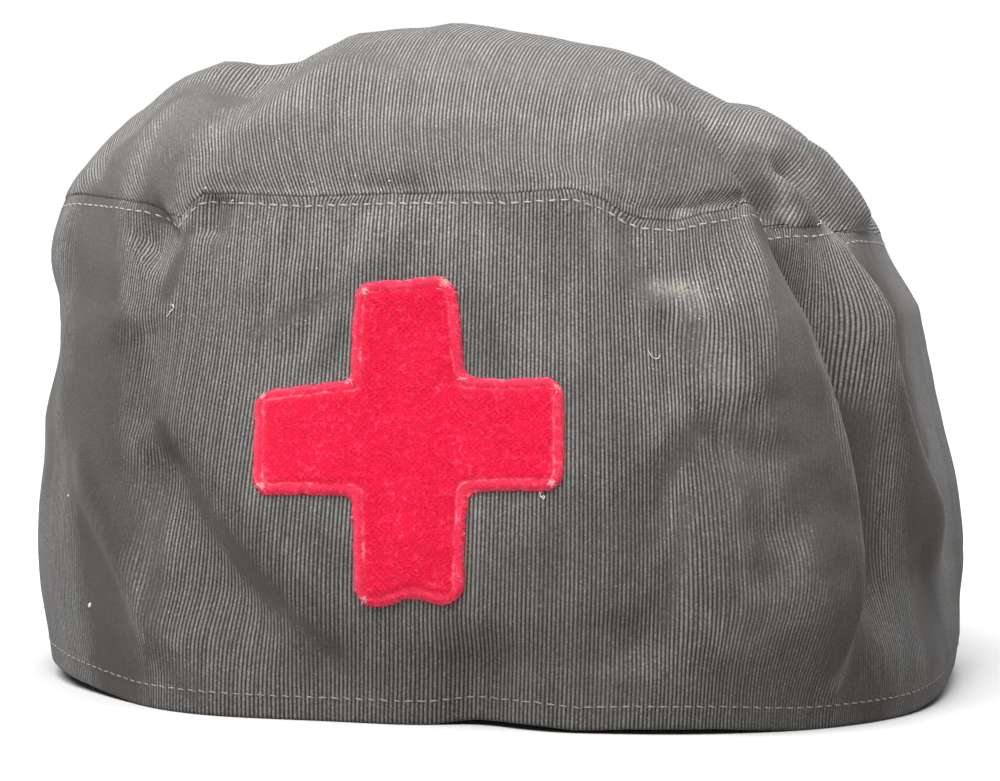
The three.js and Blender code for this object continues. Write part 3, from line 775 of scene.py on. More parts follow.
def ribbed_cloth(name, colours, sizes):
    """Fine beaded ribs along the flat cut's second coordinate, that fade where the cloth is worn smooth."""
    finish = Finish(name)
    across, along = finish.flat_cut()
    place = finish.place()
    height = finish.parts(place)[2]
    show = finish.mark("rib_show")
    patch = finish.noise(place, PATCH_SCALE, 3.0, 0.6)
    wander = finish.noise(finish.joined(across * 30.0, along * 12.0, 0.0), 1.0) - 0.5
    phase = across / sizes.rib_pitch + wander * RIB_WANDER
    number = finish.math("FLOOR", phase)
    crest = finish.math("SINE", finish.math("FRACT", phase) * math.pi) ** 1.6
    each = finish.node("ShaderNodeTexWhiteNoise", {"noise_dimensions": "1D"}, W=number)
    beads = finish.noise(finish.joined(number * 3.7, along * BEAD_SCALE, 0.0), 1.0, 1.0)
    streak = finish.noise(finish.joined(number * 1.7, along * STREAK_SCALE, 5.0), 1.0, 2.0, 0.6)
    grain = finish.noise(place, GRAIN_SCALE, 2.0, 0.7)
    strength = finish.clamp((show - 0.5) * 1.5 + 0.5 + (patch - 0.5) * 1.3 + (streak - 0.5) * 0.8)
    strength = strength * (0.88 - 0.3 * finish.clamp((patch - 0.56) * 6.0))
    beaded = 0.72 + (beads - 0.5) * 0.9 + (streak - 0.5) * 0.5 + (each - 0.5) * 0.2
    # Painted shade in the grooves: across each rib the colour runs from the dark groove colour up to the rib
    # colour
    relief = finish.clamp(crest * beaded + (grain - 0.5) * 0.5)
    ribs = finish.mix(relief, colours.groove, colours.rib)
    faint = finish.clamp(crest * 0.6 + beads * 0.5)
    worn_tone = finish.clamp((grain - 0.5) * 1.8 + 0.3 + faint * 0.25 + (patch - 0.5) * 0.5)
    worn = finish.mix(worn_tone, colours.smooth_dark, colours.smooth_light)
    colour = finish.mix(strength, worn, ribs)
    glint = finish.clamp((grain - 0.6) * 9.0) * finish.clamp(strength * 1.6) * finish.clamp(crest * 1.5)
    colour = finish.mix(glint * 0.6, colour, colours.glint)
    # Painted light and shade: the tone mark lightens the colour where it is positive and darkens it where it
    # is negative
    colour = finish.scaled(colour, 1.0 + finish.mark("tone"))
    # Patchy soil, and painted shade that makes the cloth darker the lower it lies, as if lit from above
    soil_and_shade = finish.noise(place, SOIL_SCALE, 4.0, 0.55)
    soil_and_shade_cover = finish.clamp((soil_and_shade - 0.4) * 1.6 + (1.0 - height / (BAND_HEIGHT * MM)) * 0.85)
    colour = finish.mix(soil_and_shade_cover, colour, colours.soil_and_shade, "MULTIPLY")
    pale = finish.mark("pale") * finish.clamp((grain - 0.35) * 2.6)
    colour = finish.mix(pale * 0.8, colour, colours.pale)
    stain = finish.mark("stain") * finish.clamp((grain - 0.3) * 2.0)
    colour = finish.mix(stain * 0.6, colour, colours.stain)
    normal = finish.bump(crest * strength + beads * strength * 0.4 + grain * 0.25, CLOTH_RELIEF)
    return finish.surface(
        Base_Color=colour,
        Roughness=0.92 - 0.12 * strength,
        Normal=normal,
        Sheen_Weight=0.08,
        Sheen_Roughness=0.4,
        Sheen_Tint=(0.75, 0.77, 0.82, 1.0),
        Specular_IOR_Level=0.2,
    )


def red_velvet(name, colours):
    """Short pile, brushed unevenly, with pale fibres, and a pale crease where it is stitched."""
    finish = Finish(name)
    across, along = finish.flat_cut()
    place = finish.place()
    edge = finish.mark("edge_distance")
    pile = finish.noise(place, GRAIN_SCALE, 3.0, 0.75)
    brushed = finish.noise(place, BRUSHED_SCALE, 4.0, 0.65)
    fleck = finish.noise(place, FLECK_SCALE, 3.0, 0.7)
    warp, weft = (finish.math("SINE", way * (2 * math.pi / VELVET_WEAVE)) for way in (across, along))
    weave = warp * weft
    tone = finish.clamp(pile * 2.0 - 0.55 + weave * 0.14 + (brushed - 0.5) * 0.5)
    colour = finish.mix(tone, colours.velvet_deep, colours.velvet)
    # Near the edge the pile lies over, and a painted highlight lightens the padded edge towards the brushed
    # colour
    rim = finish.clamp(1.0 - edge / VELVET_RIM) * 0.5
    lying = finish.clamp((brushed - 0.47) * 3.0 + rim)
    fibres = finish.clamp((fleck - 0.52) * 7.0) * (0.25 + 0.75 * lying)
    colour = finish.mix(finish.clamp(fibres * 0.55 + rim * 0.5), colour, colours.velvet_bright)
    off_line = (edge - CROSS_STITCH_INSET * MM + (brushed - 0.5) * CREASE_WANDER) / CREASE_WIDTH
    crease = finish.math("EXPONENT", off_line * off_line * -1.0)
    broken = finish.clamp((brushed - 0.42) * 5.0) * finish.clamp((fleck - 0.3) * 3.0)
    broken = broken * finish.clamp(1.9 - along * along / CREASE_FADES)
    colour = finish.mix(crease * broken * 0.5, colour, colours.velvet_worn)
    rubbed = finish.clamp(1.0 - edge / RUBBED_EDGE) * finish.clamp((fleck - 0.5) * 6.0)
    colour = finish.mix(rubbed * 0.4, colour, colours.velvet_worn)
    bare = finish.clamp(finish.mark("corner_wear") * (0.4 + fleck * 1.2) - 0.5)
    colour = finish.mix(bare, colour, colours.backing)
    normal = finish.bump(pile + fleck * 0.7 + brushed * 0.5, VELVET_RELIEF)
    return finish.surface(
        Base_Color=colour,
        Roughness=0.95,
        Normal=normal,
        Sheen_Weight=0.4,
        Sheen_Roughness=0.4,
        Sheen_Tint=(1.0, 0.3, 0.38, 1.0),
        Specular_IOR_Level=0.1,
    )


def thread(name, colour, shade):
    """Spun thread, a little darker in its twist."""
    finish = Finish(name)
    twist = finish.noise(finish.place(), THREAD_SCALE, 2.0, 0.6)
    tone = finish.mix(finish.clamp(twist * 1.6 - 0.3), shade, colour)
    normal = finish.bump(twist, THREAD_RELIEF)
    return finish.surface(Base_Color=tone, Roughness=0.85, Normal=normal, Specular_IOR_Level=0.3)


def velvet_hair(name, colours):
    """Single hairs of the velvet, some of them paler."""
    finish = Finish(name)
    tint = finish.clamp((finish.noise(finish.place(), TINT_SCALE) - 0.5) * 4.0)
    colour = finish.mix(tint, colours.velvet, colours.velvet_bright)
    return finish.surface(Base_Color=colour, Roughness=0.8, Specular_IOR_Level=0.2)


def floor_paper(name, colour):
    """Smooth pale paper."""
    finish = Finish(name)
    mottle = finish.noise(finish.place(), PAPER_SCALE, 3.0)
    tone = finish.mix(mottle, colour, [0.985 * part for part in colour])
    return finish.surface(Base_Color=tone, Roughness=0.9, Specular_IOR_Level=0.1)


# Settings


def shade(red, green, blue):
    """A screen colour as linear light."""
    parts = (part / 255.0 for part in (red, green, blue))
    return tuple(p / 12.92 if p <= 0.04045 else ((p + 0.055) / 1.055) ** 2.4 for p in parts)


def length(name, description, default):
    return bpy.props.FloatProperty(
        name=name, description=description, default=default, min=0.0, unit="LENGTH", precision=5
    )


def colour(name, description, *screen):
    default = shade(*screen)
    return bpy.props.FloatVectorProperty(
        name=name, description=description, default=default, size=3, min=0.0, max=1.0, subtype="COLOR"
    )


class CapSizes(bpy.types.PropertyGroup):
    cloth: length("Cloth", "Thickness of the ribbed cloth", CLOTH * MM)
    rib_pitch: length("Rib pitch", "From one rib of the cloth to the next", 0.00075)
    stitch_pitch: length("Stitch pitch", "From one stitch of the cap to the next", 0.00225)
    thread: length("Thread", "Thickness of the sewing thread", 0.00034)
    cross_span: length("Cross span", "From end to end of the cross's arms", 0.0575)
    cross_arm: length("Cross arm", "Width of the cross's arms", 0.02)
    cross_corner: length("Cross corner", "Radius of the cross's outer corners", 0.0032)
    cross_loft: length("Cross loft", "How far the velvet stands off the band", 0.0011)
    pile: length("Pile", "Length of the velvet's loose hairs", 0.0011)


class CapColours(bpy.types.PropertyGroup):
    rib: colour("Rib", "Crests of the ribs", 150, 147, 143)
    # Painted shade: the dark colour between the ribs
    groove: colour("Groove", "Between the ribs", 28, 27, 27)
    glint: colour("Glint", "Bright flecks of the ribs", 176, 180, 190)
    smooth_light: colour("Worn cloth, light", "Cloth worn smooth", 94, 91, 87)
    smooth_dark: colour("Worn cloth, dark", "Cloth worn smooth", 66, 64, 61)
    # Soil and painted shade: darkens patches of the cloth, and the band towards the hem
    soil_and_shade: colour("Soil", "Darker patches of the cloth", 190, 188, 186)
    velvet: colour("Velvet", "The cross's pile", 216, 26, 64)
    velvet_deep: colour("Velvet, deep", "Down in the pile", 172, 2, 36)
    velvet_bright: colour("Velvet, brushed", "Where the pile lies over", 238, 92, 120)
    velvet_worn: colour("Velvet, worn", "Rubbed edges of the cross", 238, 150, 158)
    backing: colour("Backing", "Bare corners of the cross", 226, 196, 186)
    thread: colour("Thread", "Grey sewing thread", 168, 166, 160)
    thread_shade: colour("Thread, dark", "The twist of the grey thread", 112, 110, 105)
    pale: colour("Pale patch", "Cloth rubbed pale", 172, 168, 154)
    stain: colour("Stain", "A small rusty mark", 144, 88, 68)
    hem_thread: colour("Hem thread", "Drab sewing thread", 134, 132, 120)
    hem_thread_shade: colour("Hem thread, dark", "The twist of the drab thread", 96, 94, 85)
    lint: colour("Lint", "Pale fluff on the cap", 214, 210, 202)
    floor: colour("Floor", "The paper under the cap", 178, 178, 178)


class StageSettings(bpy.types.PropertyGroup):
    key_power: bpy.props.FloatProperty(
        name="Key light", description="Strength of the main soft light", default=7.0, min=0.0
    )
    ceiling: bpy.props.FloatProperty(
        name="Ceiling", description="Light from above, all round", default=0.25, min=0.0
    )


def sizes():
    return bpy.context.scene.cap_sizes


def colours():
    return bpy.context.scene.cap_colours


# Pieces


def fold_steps(level, inner, outer, way):
    """The half circle of steps where the cloth is folded flat, from its outer layer to the inner one."""
    centre, radius = (inner + outer) / 2, (inner - outer) / 2
    turns = [math.pi * k / 6 for k in range(7)]
    return [(level, centre - radius * math.cos(turn), way * radius * math.sin(turn)) for turn in turns]


def band_sheet(net):
    """The band's middle surface, from its inner hem round the fold, up the outside and over the seam."""
    outer = CLOTH / 2
    inner = outer + 2 * TURN
    low, high = up(outer + TURN), 1.0 - up(outer + TURN)
    inside_hem = [(up(height), inner, 0.0) for height in HEM_INSIDE]
    hem_fold = fold_steps(low, inner, outer, -1.0)[::-1]
    outside = [(level, outer, 0.0) for level in net.levels if low + 1e-6 < level < high - 1e-6]
    seam_fold = fold_steps(high, inner, outer, 1.0)
    tuck = [(1.0 - up(depth), inner, 0.0) for depth in BAND_INSIDE]
    steps = inside_hem + hem_fold + outside + seam_fold + tuck
    places, marks = net.sheet(steps)
    # The hem's lower edge is even
    first = len(inside_hem)
    for k, step in enumerate(hem_fold):
        places[first + k, :, 2] = (outer + TURN + step[2] + hem_lift(net.angles)) * MM
    return places, marks, np.array([step[0] for step in steps])


def crown_sheet(net):
    """The crown's middle surface, from its tucked edge to the top."""
    outer = CLOTH / 2
    tucked = outer + 2 * TURN + CLOTH + TUCK_GAP
    from_level, over = 1.0 - up(CROWN_FREED[0]), up(CROWN_FREED[1])
    steps = [(1.0 - up(depth), tucked, 0.0) for depth in CROWN_INSIDE]
    for level in net.levels[net.levels > from_level]:
        freed = float(smooth((level - from_level) / over))
        steps.append((level, tucked + (outer - CROWN_PROUD - tucked) * freed, 0.0))
    places, marks = net.sheet(steps)
    places[-1] = places[-1].mean(0)
    return places, marks


def cut_by(first, second):
    """A flat cut's coordinates as pairs."""
    return np.stack([first, second], -1)


def dress(piece, node=None):
    """A piece that rides with the cap, and may stand for one of the solids."""
    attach(piece, BODY)
    if node:
        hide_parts(node)


def sewn_round(name, places, flat, marks, material):
    """A sheet that closes on itself."""
    bm = cloth_sheet(places, flat, marks)
    bmesh.ops.remove_doubles(bm, verts=bm.verts, dist=1e-6)
    bmesh.ops.recalc_face_normals(bm, faces=bm.faces)
    return make_object(name, bm, material)


class CAP_OT_band(bpy.types.Operator):
    """Make the ribbed side band with its hem and its folded upper edge"""

    bl_idname = "cap.band"
    bl_label = "Band"

    def execute(self, context):
        net = cap_net()
        places, marks, levels = band_sheet(net)
        round_it = arc_lengths(places, 1)[places.shape[0] // 2]
        along = arc_lengths(places, 0).mean(1)
        across, up_it = np.meshgrid(round_it, along)
        drawn = [waver(place / (STRIP_WAVE * MM), 0.0, 3.0) for place in round_it]
        in_strip = smooth((levels - 1.0 + up(TOPSTITCH)) / up(TOPSTITCH))
        flat = cut_by(across + np.outer(in_strip, STRIP_LEAN * MM * np.array(drawn)), up_it)
        piece = sewn_round("band_cloth", places, flat, marks, cloth_material())
        thicken(piece, sizes().cloth)
        dress(piece, "side_band")
        return {"FINISHED"}


class CAP_OT_crown(bpy.types.Operator):
    """Make the crown, one flat panel gathered into the band"""

    bl_idname = "cap.crown"
    bl_label = "Crown"

    def execute(self, context):
        net = cap_net()
        places, marks = crown_sheet(net)
        from_top = arc_lengths(places[::-1], 0)[::-1]
        turn = np.radians(net.angles)
        flat = cut_by(from_top * np.sin(turn), -from_top * np.cos(turn))
        piece = sewn_round("crown_cloth", places, flat, marks, cloth_material())
        thicken(piece, sizes().cloth)
        dress(piece, "crown")
        return {"FINISHED"}


@cache
def cloth_material():
    return ribbed_cloth("ribbed_cloth", colours(), sizes())


def at_width_and_height(x, z):
    """Angle and level on the smooth cap's front of points seen straight from the front, in millimetres."""
    angle = np.degrees(np.arcsin(np.clip(x / RIM_HALF_WIDTH, -0.98, 0.98)))
    level = z / BAND_HEIGHT
    for _ in range(6):
        shares = section_shares(angle)
        level = z / (BAND_HEIGHT * shares[..., 4])
        reach = plan_radius(angle) * band_share(shares[..., :4], np.clip(level, 0.0, 1.0))
        angle = np.degrees(np.arcsin(np.clip(x / reach, -0.98, 0.98)))
    return angle, level


# The cross, in millimetres and degrees
CROSS_NOOK = 2.2  # roundness of the inner corners
CROSS_FACET = 0.5
NEAR_EDGE = 0.62 * CROSS_FACET
CROSS_TILT = 2.5  # of the bar, anticlockwise from the front
CROSS_SLANT = 3.4  # of the upright
CROSS_THICKNESS = 0.5
CROSS_MARGIN = 1.2  # of its grid, round the outline
VELVET_WAVE = (0.22, 6.0)  # height and length of its unevenness
CROSS_BULGE = 1.1  # how far inside its edge the velvet reaches its full loft
CROSS_GROOVE = (0.3, 0.45)  # depth and width of its sewn line
# Places where the pile is gone, and their reach
WORN_SPOTS = [
    (-7.6, 26.9, 1.1), (7, 28, 1.3), (-26.8, 8.2, 0.9), (-26.6, -7.9, 1.1), (26.6, 9.4, 0.7),
    (25.8, -7.6, 1), (-8.3, -28, 0.9), (-10.8, 10.8, 0.7), (9.9, 11, 0.5),
]
# Sewn by hand, the cross's edges wander: how far each stands out from a straight one at places along it, in
# millimetres. The upright's edges go up, the bar's go towards the wearer's left.
CROSS_EDGES = {
    "upright_left": [
        (-29, 0), (-16, 0.05), (-12, 0.3), (12, 0.5), (15, 0.4), (20, 0.2), (26.4, -0.4), (29, -0.6),
    ],
    "upright_right": [
        (-29, -0.2), (-20, 0), (-15, 0.3), (-11, 0.7), (11, 0.5), (15, 0), (20, -0.3), (26.4, -1), (29, -1.1),
    ],
    "upright_top": [(-10, -0.2), (0, -0.15), (1.2, 0.0), (3, 0.25), (5, 0.35), (7, 0.05), (9, -0.3)],
    "upright_foot": [
        (-9, 0.4), (-6, 0.7), (-3, 0.15), (-1.5, -0.6), (0, -0.8), (2, -0.65), (4, 0.1), (6, 0.4), (9, 0.1),
    ],
    "bar_left": [(-9, -0.6), (5, -0.35), (7.5, 0.0), (9, -0.3)],
    "bar_right": [(-9, -0.9), (0, -0.7), (9, -0.8)],
    "bar_top": [
        (-27, -1), (-24.5, -0.5), (-18.9, 0.1), (-13, 0.8), (0, 1), (12, 1.3), (17, 0.9), (25, 1.1),
        (28, 0.6),
    ],
    "bar_foot": [(-28, -0.5), (-19, -0.7), (-13, -0.5), (13, -1.0), (18, -1.2), (25, -1.0), (28, -1.3)],
}


def edge_out(edge, place):
    return np.interp(place, *zip(*CROSS_EDGES[edge]))


def rounded(one, other, corner):
    """How far a point is inside a rounded corner, from its distances inside the two edges."""
    a, b = np.maximum(corner - one, 0.0), np.maximum(corner - other, 0.0)
    bent = corner - np.hypot(a, b)
    return np.where((a > 0) & (b > 0), bent, np.minimum(one, other))


def cross_distance(x, z, span, arm, corner):
    """How far a point is inside the cross's outline, in millimetres, negative outside."""
    reach, half = span / 2, arm / 2
    sides = np.minimum(x + half + edge_out("upright_left", z), half + edge_out("upright_right", z) - x)
    ends = np.minimum(reach + edge_out("upright_top", x) - z, z + reach + edge_out("upright_foot", x))
    upright = rounded(sides, ends, corner)
    sides = np.minimum(half + edge_out("bar_top", x) - z, z + half + edge_out("bar_foot", x))
    ends = np.minimum(x + reach + edge_out("bar_left", z), reach + edge_out("bar_right", z) - x)
    bar = rounded(sides, ends, corner)
    share = np.clip(0.5 + 0.5 * (upright - bar) / CROSS_NOOK, 0.0, 1.0)
    wander = 0.07 * np.sin(x * 1.3 - z * 1.1) + 0.05 * np.sin(x * 2.9 + z * 3.1)
    return bar + (upright - bar) * share + CROSS_NOOK * share * (1.0 - share) + wander


class CrossPatch:
    """The cross's top surface on a flat grid, and where each point of it lies on the band."""

    def __init__(self):
        s = sizes()
        self.span, self.arm, self.corner = s.cross_span / MM, s.cross_arm / MM, s.cross_corner / MM
        self.loft = s.cross_loft / MM
        self.half = self.span / 2 + CROSS_MARGIN
        self.count = int(round(2 * self.half / CROSS_FACET))

    def depth(self, x, z):
        """Millimetres inside the outline."""
        return cross_distance(x, z, self.span, self.arm, self.corner)

    def relief(self, x, z):
        """How far the velvet stands off the band."""
        inside = np.maximum(self.depth(x, z), 0.0)
        edge = np.sqrt(np.clip(inside / CROSS_BULGE, 0.0, 1.0))
        groove_depth, groove_width = CROSS_GROOVE
        groove = groove_depth * np.exp(-(((inside - CROSS_STITCH_INSET) / groove_width) ** 2))
        rise, wide = VELVET_WAVE
        waves = [rise * waver(a / wide, b / wide, 3.0) for a, b in zip(x.ravel(), z.ravel())]
        return self.loft * (0.18 + 0.82 * edge) - groove + np.reshape(waves, x.shape) * edge

    def slopes(self, x, z, step=0.05):
        """How fast the depth grows to the right and upwards."""
        right = (self.depth(x + step, z) - self.depth(x - step, z)) / (2 * step)
        above = (self.depth(x, z + step) - self.depth(x, z - step)) / (2 * step)
        return right, above

    def places(self, x, z):
        """Points over the band, in metres, and which way is out there."""
        tilt, slant = math.radians(CROSS_TILT), math.radians(CROSS_SLANT)
        wide = x * math.cos(tilt) - z * math.sin(slant)
        high = x * math.sin(tilt) + z * math.cos(slant) + CROSS_HEIGHT
        angle, level = at_width_and_height(wide, high)
        points, _ = cap_points(angle, level)
        nudge = 0.6
        beside, _ = cap_points(*at_width_and_height(wide + nudge, high))
        above, _ = cap_points(*at_width_and_height(wide, high + nudge))
        out = unit(np.cross(beside - points, above - points))
        return (points + out * self.relief(x, z)[..., None]) * MM + SHIFT, out


class CAP_OT_cross(bpy.types.Operator):
    """Make the velvet cross, padded at its edge and sewn down just inside it"""

    bl_idname = "cap.cross"
    bl_label = "Cross"

    def execute(self, context):
        patch = CrossPatch()
        bm = bmesh.new()
        flat_layer = bm.loops.layers.uv.new("flat_cut")
        edge_layer = bm.verts.layers.float.new("edge_distance")
        wear_layer = bm.verts.layers.float.new("corner_wear")
        bmesh.ops.create_grid(bm, x_segments=patch.count, y_segments=patch.count, size=patch.half)
        verts = list(bm.verts)
        x = np.array([vert.co.x for vert in verts])
        z = np.array([vert.co.y for vert in verts])
        depth = patch.depth(x, z)
        # Points near the outline move onto it, and the rest outside it go
        for _ in range(3):
            slope_x, slope_z = patch.slopes(x, z)
            size = np.maximum(slope_x**2 + slope_z**2, 0.25)
            now = patch.depth(x, z)
            off = np.where((np.abs(now) < NEAR_EDGE) & (np.abs(depth) < NEAR_EDGE), now, 0.0)
            x, z = x - off * slope_x / size, z - off * slope_z / size
        gone = depth < -NEAR_EDGE
        inside = np.maximum(patch.depth(x, z), 0.0)
        places, _ = patch.places(x, z)
        wear = np.zeros_like(x)
        for corner_x, corner_z, reach in WORN_SPOTS:
            wear += np.exp(-((x - corner_x) ** 2 + (z - corner_z) ** 2) / reach**2)
        flats = {}
        for k, vert in enumerate(verts):
            flats[vert] = (x[k] * MM, z[k] * MM)
            vert.co = places[k]
            vert[edge_layer] = inside[k] * MM
            vert[wear_layer] = wear[k]
        lay_flat(bm, flat_layer, flats)
        bmesh.ops.delete(bm, geom=[vert for vert, lost in zip(verts, gone) if lost], context="VERTS")
        bmesh.ops.recalc_face_normals(bm, faces=bm.faces)
        if sum(face.normal.y * face.calc_area() for face in bm.faces) > 0:
            bmesh.ops.reverse_faces(bm, faces=bm.faces)
        piece = make_object("velvet_cross", bm, red_velvet("red_velvet", colours()))
        thicken(piece, CROSS_THICKNESS * MM, -1.0)
        dress(piece, "cross_patch")
        return {"FINISHED"}


# Stitches: how far they lean in degrees, and half lengths and widths as shares of the pitch and the thread
STITCH_LEAN = (4.0, 5.0)  # and how much that varies
STITCH_LENGTHS = (0.4, 0.47)
STITCH_WIDTHS = (0.5, 0.66)
HEM_THREAD_SHARE = 0.75  # of the seam's thread


class CAP_OT_stitches(bpy.types.Operator):
    """Sew the seam and the hem"""

    bl_idname = "cap.stitches"
    bl_label = "Stitches"

    def execute(self, context):
        net, s, c = cap_net(), sizes(), colours()
        grey = thread("grey_thread", c.thread, c.thread_shade)
        drab = thread("drab_thread", c.hem_thread, c.hem_thread_shade)
        lines = {
            "seam_stitches": (net.row(1.0 - up(TOPSTITCH)), grey, s.thread),
            "hem_stitches": (net.row(up(HEM_STITCH), 0.02), drab, s.thread * HEM_THREAD_SHARE),
        }
        for name, (line, material, width) in lines.items():
            dress(sew_line(name, line, s.stitch_pitch, width, material))
        return {"FINISHED"}


def evenly(line, pitch):
    """Points and directions at even steps along a line of places."""
    steps = np.linalg.norm(np.diff(line, axis=0), axis=1)
    at = np.concatenate([[0.0], np.cumsum(steps)])
    count = max(2, int(round(at[-1] / pitch)))
    spots = (np.arange(count) + 0.5) * at[-1] / count
    points = np.stack([np.interp(spots, at, line[:, k]) for k in range(3)], -1)
    ahead = np.stack([np.interp(spots + pitch / 4, at, line[:, k]) for k in range(3)], -1)
    return points, ahead - points


def sew_line(name, line, pitch, width, material):
    """A row of short thread stitches."""
    points, along = evenly(line, pitch)
    bm = bmesh.new()
    chance = random.Random(name)
    for point, way in zip(points, along):
        tilt = Matrix.Rotation(math.radians(chance.gauss(*STITCH_LEAN)), 4, "Y")
        long = pitch * chance.uniform(*STITCH_LENGTHS)
        thick = width * chance.uniform(*STITCH_WIDTHS)
        stretched = Matrix.Diagonal((long, thick, thick, 1.0))
        place = Matrix.Translation(Vector(point)) @ (turned(way, "X", "Z") @ tilt) @ stretched
        bmesh.ops.create_uvsphere(bm, u_segments=6, v_segments=4, radius=1.0, matrix=place)
    return make_object(name, bm, material)


# Hairs, in millimetres, and their lengths as shares of the pile's
HAIR_SPACING = 0.3
HAIR_WIDTH = 0.036
HAIR_BATCH = 100
EDGE_HAIRS = 0.5  # how far inside the outline they stand close
EDGE_LENGTHS = (0.3, 0.75)
LOOSE_SHARE = 0.035  # of the places farther in that have one
LOOSE_LENGTHS = (0.4, 0.9)
ASTRAY = 0.6
HAIR_RISE = 0.35
CREAM_FIBRES = 9  # at each worn spot
CREAM_LENGTHS = (0.5, 1.1)
CREAM_LIFT = 0.00005  # metres


class HairBatch:
    """Tapering hairs, made a few at a time because a large bmesh is slow to add to."""

    def __init__(self):
        self.all, self.few, self.count = bmesh.new(), bmesh.new(), 0

    def hair(self, root, way, long):
        place = Matrix.Translation(root + way.normalized() * (long / 2)) @ turned(way, "Z", "Y")
        ends = {"cap_ends": True, "cap_tris": True, "radius1": HAIR_WIDTH * MM, "radius2": 0.0}
        bmesh.ops.create_cone(self.few, segments=3, depth=long, matrix=place, **ends)
        self.count += 1
        if self.count % HAIR_BATCH == 0:
            self.gather()

    def gather(self):
        mesh = bpy.data.meshes.new("few_hairs")
        self.few.to_mesh(mesh)
        self.few.free()
        self.all.from_mesh(mesh)
        bpy.data.meshes.remove(mesh)
        self.few = bmesh.new()

    def whole(self):
        self.gather()
        self.few.free()
        return self.all


class CAP_OT_fuzz(bpy.types.Operator):
    """Brush up the velvet's loose hairs"""

    bl_idname = "cap.fuzz"
    bl_label = "Fuzz"

    def execute(self, context):
        patch = CrossPatch()
        chance = random.Random(11)
        grid = np.arange(-patch.half, patch.half, HAIR_SPACING)
        x, z = (axis.ravel() for axis in np.meshgrid(grid, grid))
        x = x + np.array([chance.uniform(-0.5, 0.5) for _ in x]) * HAIR_SPACING
        z = z + np.array([chance.uniform(-0.5, 0.5) for _ in z]) * HAIR_SPACING
        depth = patch.depth(x, z)
        at_edge = (depth > 0.0) & (depth < EDGE_HAIRS)
        loose = (depth > EDGE_HAIRS) & (np.array([chance.random() for _ in x]) < LOOSE_SHARE)
        kept = at_edge | loose
        points, out = patch.places(x[kept], z[kept])
        inwards = zip(*patch.slopes(x[kept], z[kept]))
        batch = HairBatch()
        for point, away, edge, (in_x, in_z) in zip(points, out, at_edge[kept], inwards):
            way = np.array([chance.gauss(0.0, ASTRAY), 0.0, chance.gauss(0.0, ASTRAY)])
            if edge:
                way = np.array([-in_x, 0.0, -in_z]) * 0.8 + way * 0.5
            long = sizes().pile * chance.uniform(*(EDGE_LENGTHS if edge else LOOSE_LENGTHS))
            batch.hair(Vector(point), Vector(away * HAIR_RISE + way), long)
        piece = make_object("velvet_hairs", batch.whole(), velvet_hair("velvet_hair", colours()))
        dress(piece)
        self.cream_fibres(patch, chance)
        return {"FINISHED"}

    def cream_fibres(self, patch, chance):
        """Threads of the velvet's backing that show at its worn corners."""
        x, z = [], []
        for spot_x, spot_z, reach in WORN_SPOTS:
            for _ in range(CREAM_FIBRES):
                x.append(spot_x + chance.gauss(0.0, 0.6) * reach)
                z.append(spot_z + chance.gauss(0.0, 0.45) * reach)
        points, out = patch.places(np.array(x), np.array(z))
        batch = HairBatch()
        for point, away in zip(points, out):
            way = Vector((chance.gauss(0.0, 1.0), 0.0, chance.gauss(0.0, 0.5))) + Vector(away) * 0.25
            long = sizes().pile * chance.uniform(*CREAM_LENGTHS)
            batch.hair(Vector(point) + Vector(away) * CREAM_LIFT, way, long)
        finish = thread("cream_fibre", colours().backing, colours().lint)
        dress(make_object("cream_fibres", batch.whole(), finish))


# Fluff on the cap: angle, level and size in millimetres
SPECKS = [
    (-40.2, 0.175, 0.55), (-46, 0.393, 0.3), (-26.8, 1.011, 0.3), (-23.2, 0.982, 0.28), (-23.2, 1.279, 0.25),
    (-3.5, 1.041, 0.3), (-13, 1.048, 0.25), (-4.8, 1.008, 0.28), (34, 0.856, 0.22), (-30.8, 1.299, 0.25),
    (-30, 1.276, 0.22), (-17.5, 1.216, 0.22), (31.5, 0.8, 0.22), (-12, 0.86, 0.2), (27, 0.7, 0.18),
]
SPECK_LIFT = 0.1
# Loose threads: angle and level of their start, then steps in millimetres round and up
THREADS = [
    (-30.8, 0.764, [(1.0, 1.2), (0.6, 0.9), (-0.5, 0.3), (0.4, -0.6), (-0.9, -0.9)]),
    (51.8, 0.998, [(0.6, 0.5), (0.7, -0.2), (0.5, 0.4), (0.7, 0.9)]),
    (14.6, 0.458, [(0.4, -0.8), (0.5, 0.1), (-0.2, -0.7)]),
    (14.9, 0.46, [(-0.3, -0.8), (0.5, -0.5), (0.3, 0.3)]),
    (26.5, 0.735, [(0.7, -1.1), (0.9, -0.3), (0.6, 0.6)]),
]
THREAD_RADIUS = 0.065
THREAD_LIFT = 0.25


def on_cloth(angle, level, height):
    """A place on the cap's outside, some millimetres off the cloth."""
    points, outward = cap_points(np.array([[float(angle)]]), np.array([[float(level)]]))
    return Vector((points[0, 0] + outward[0, 0] * height) * MM + SHIFT)


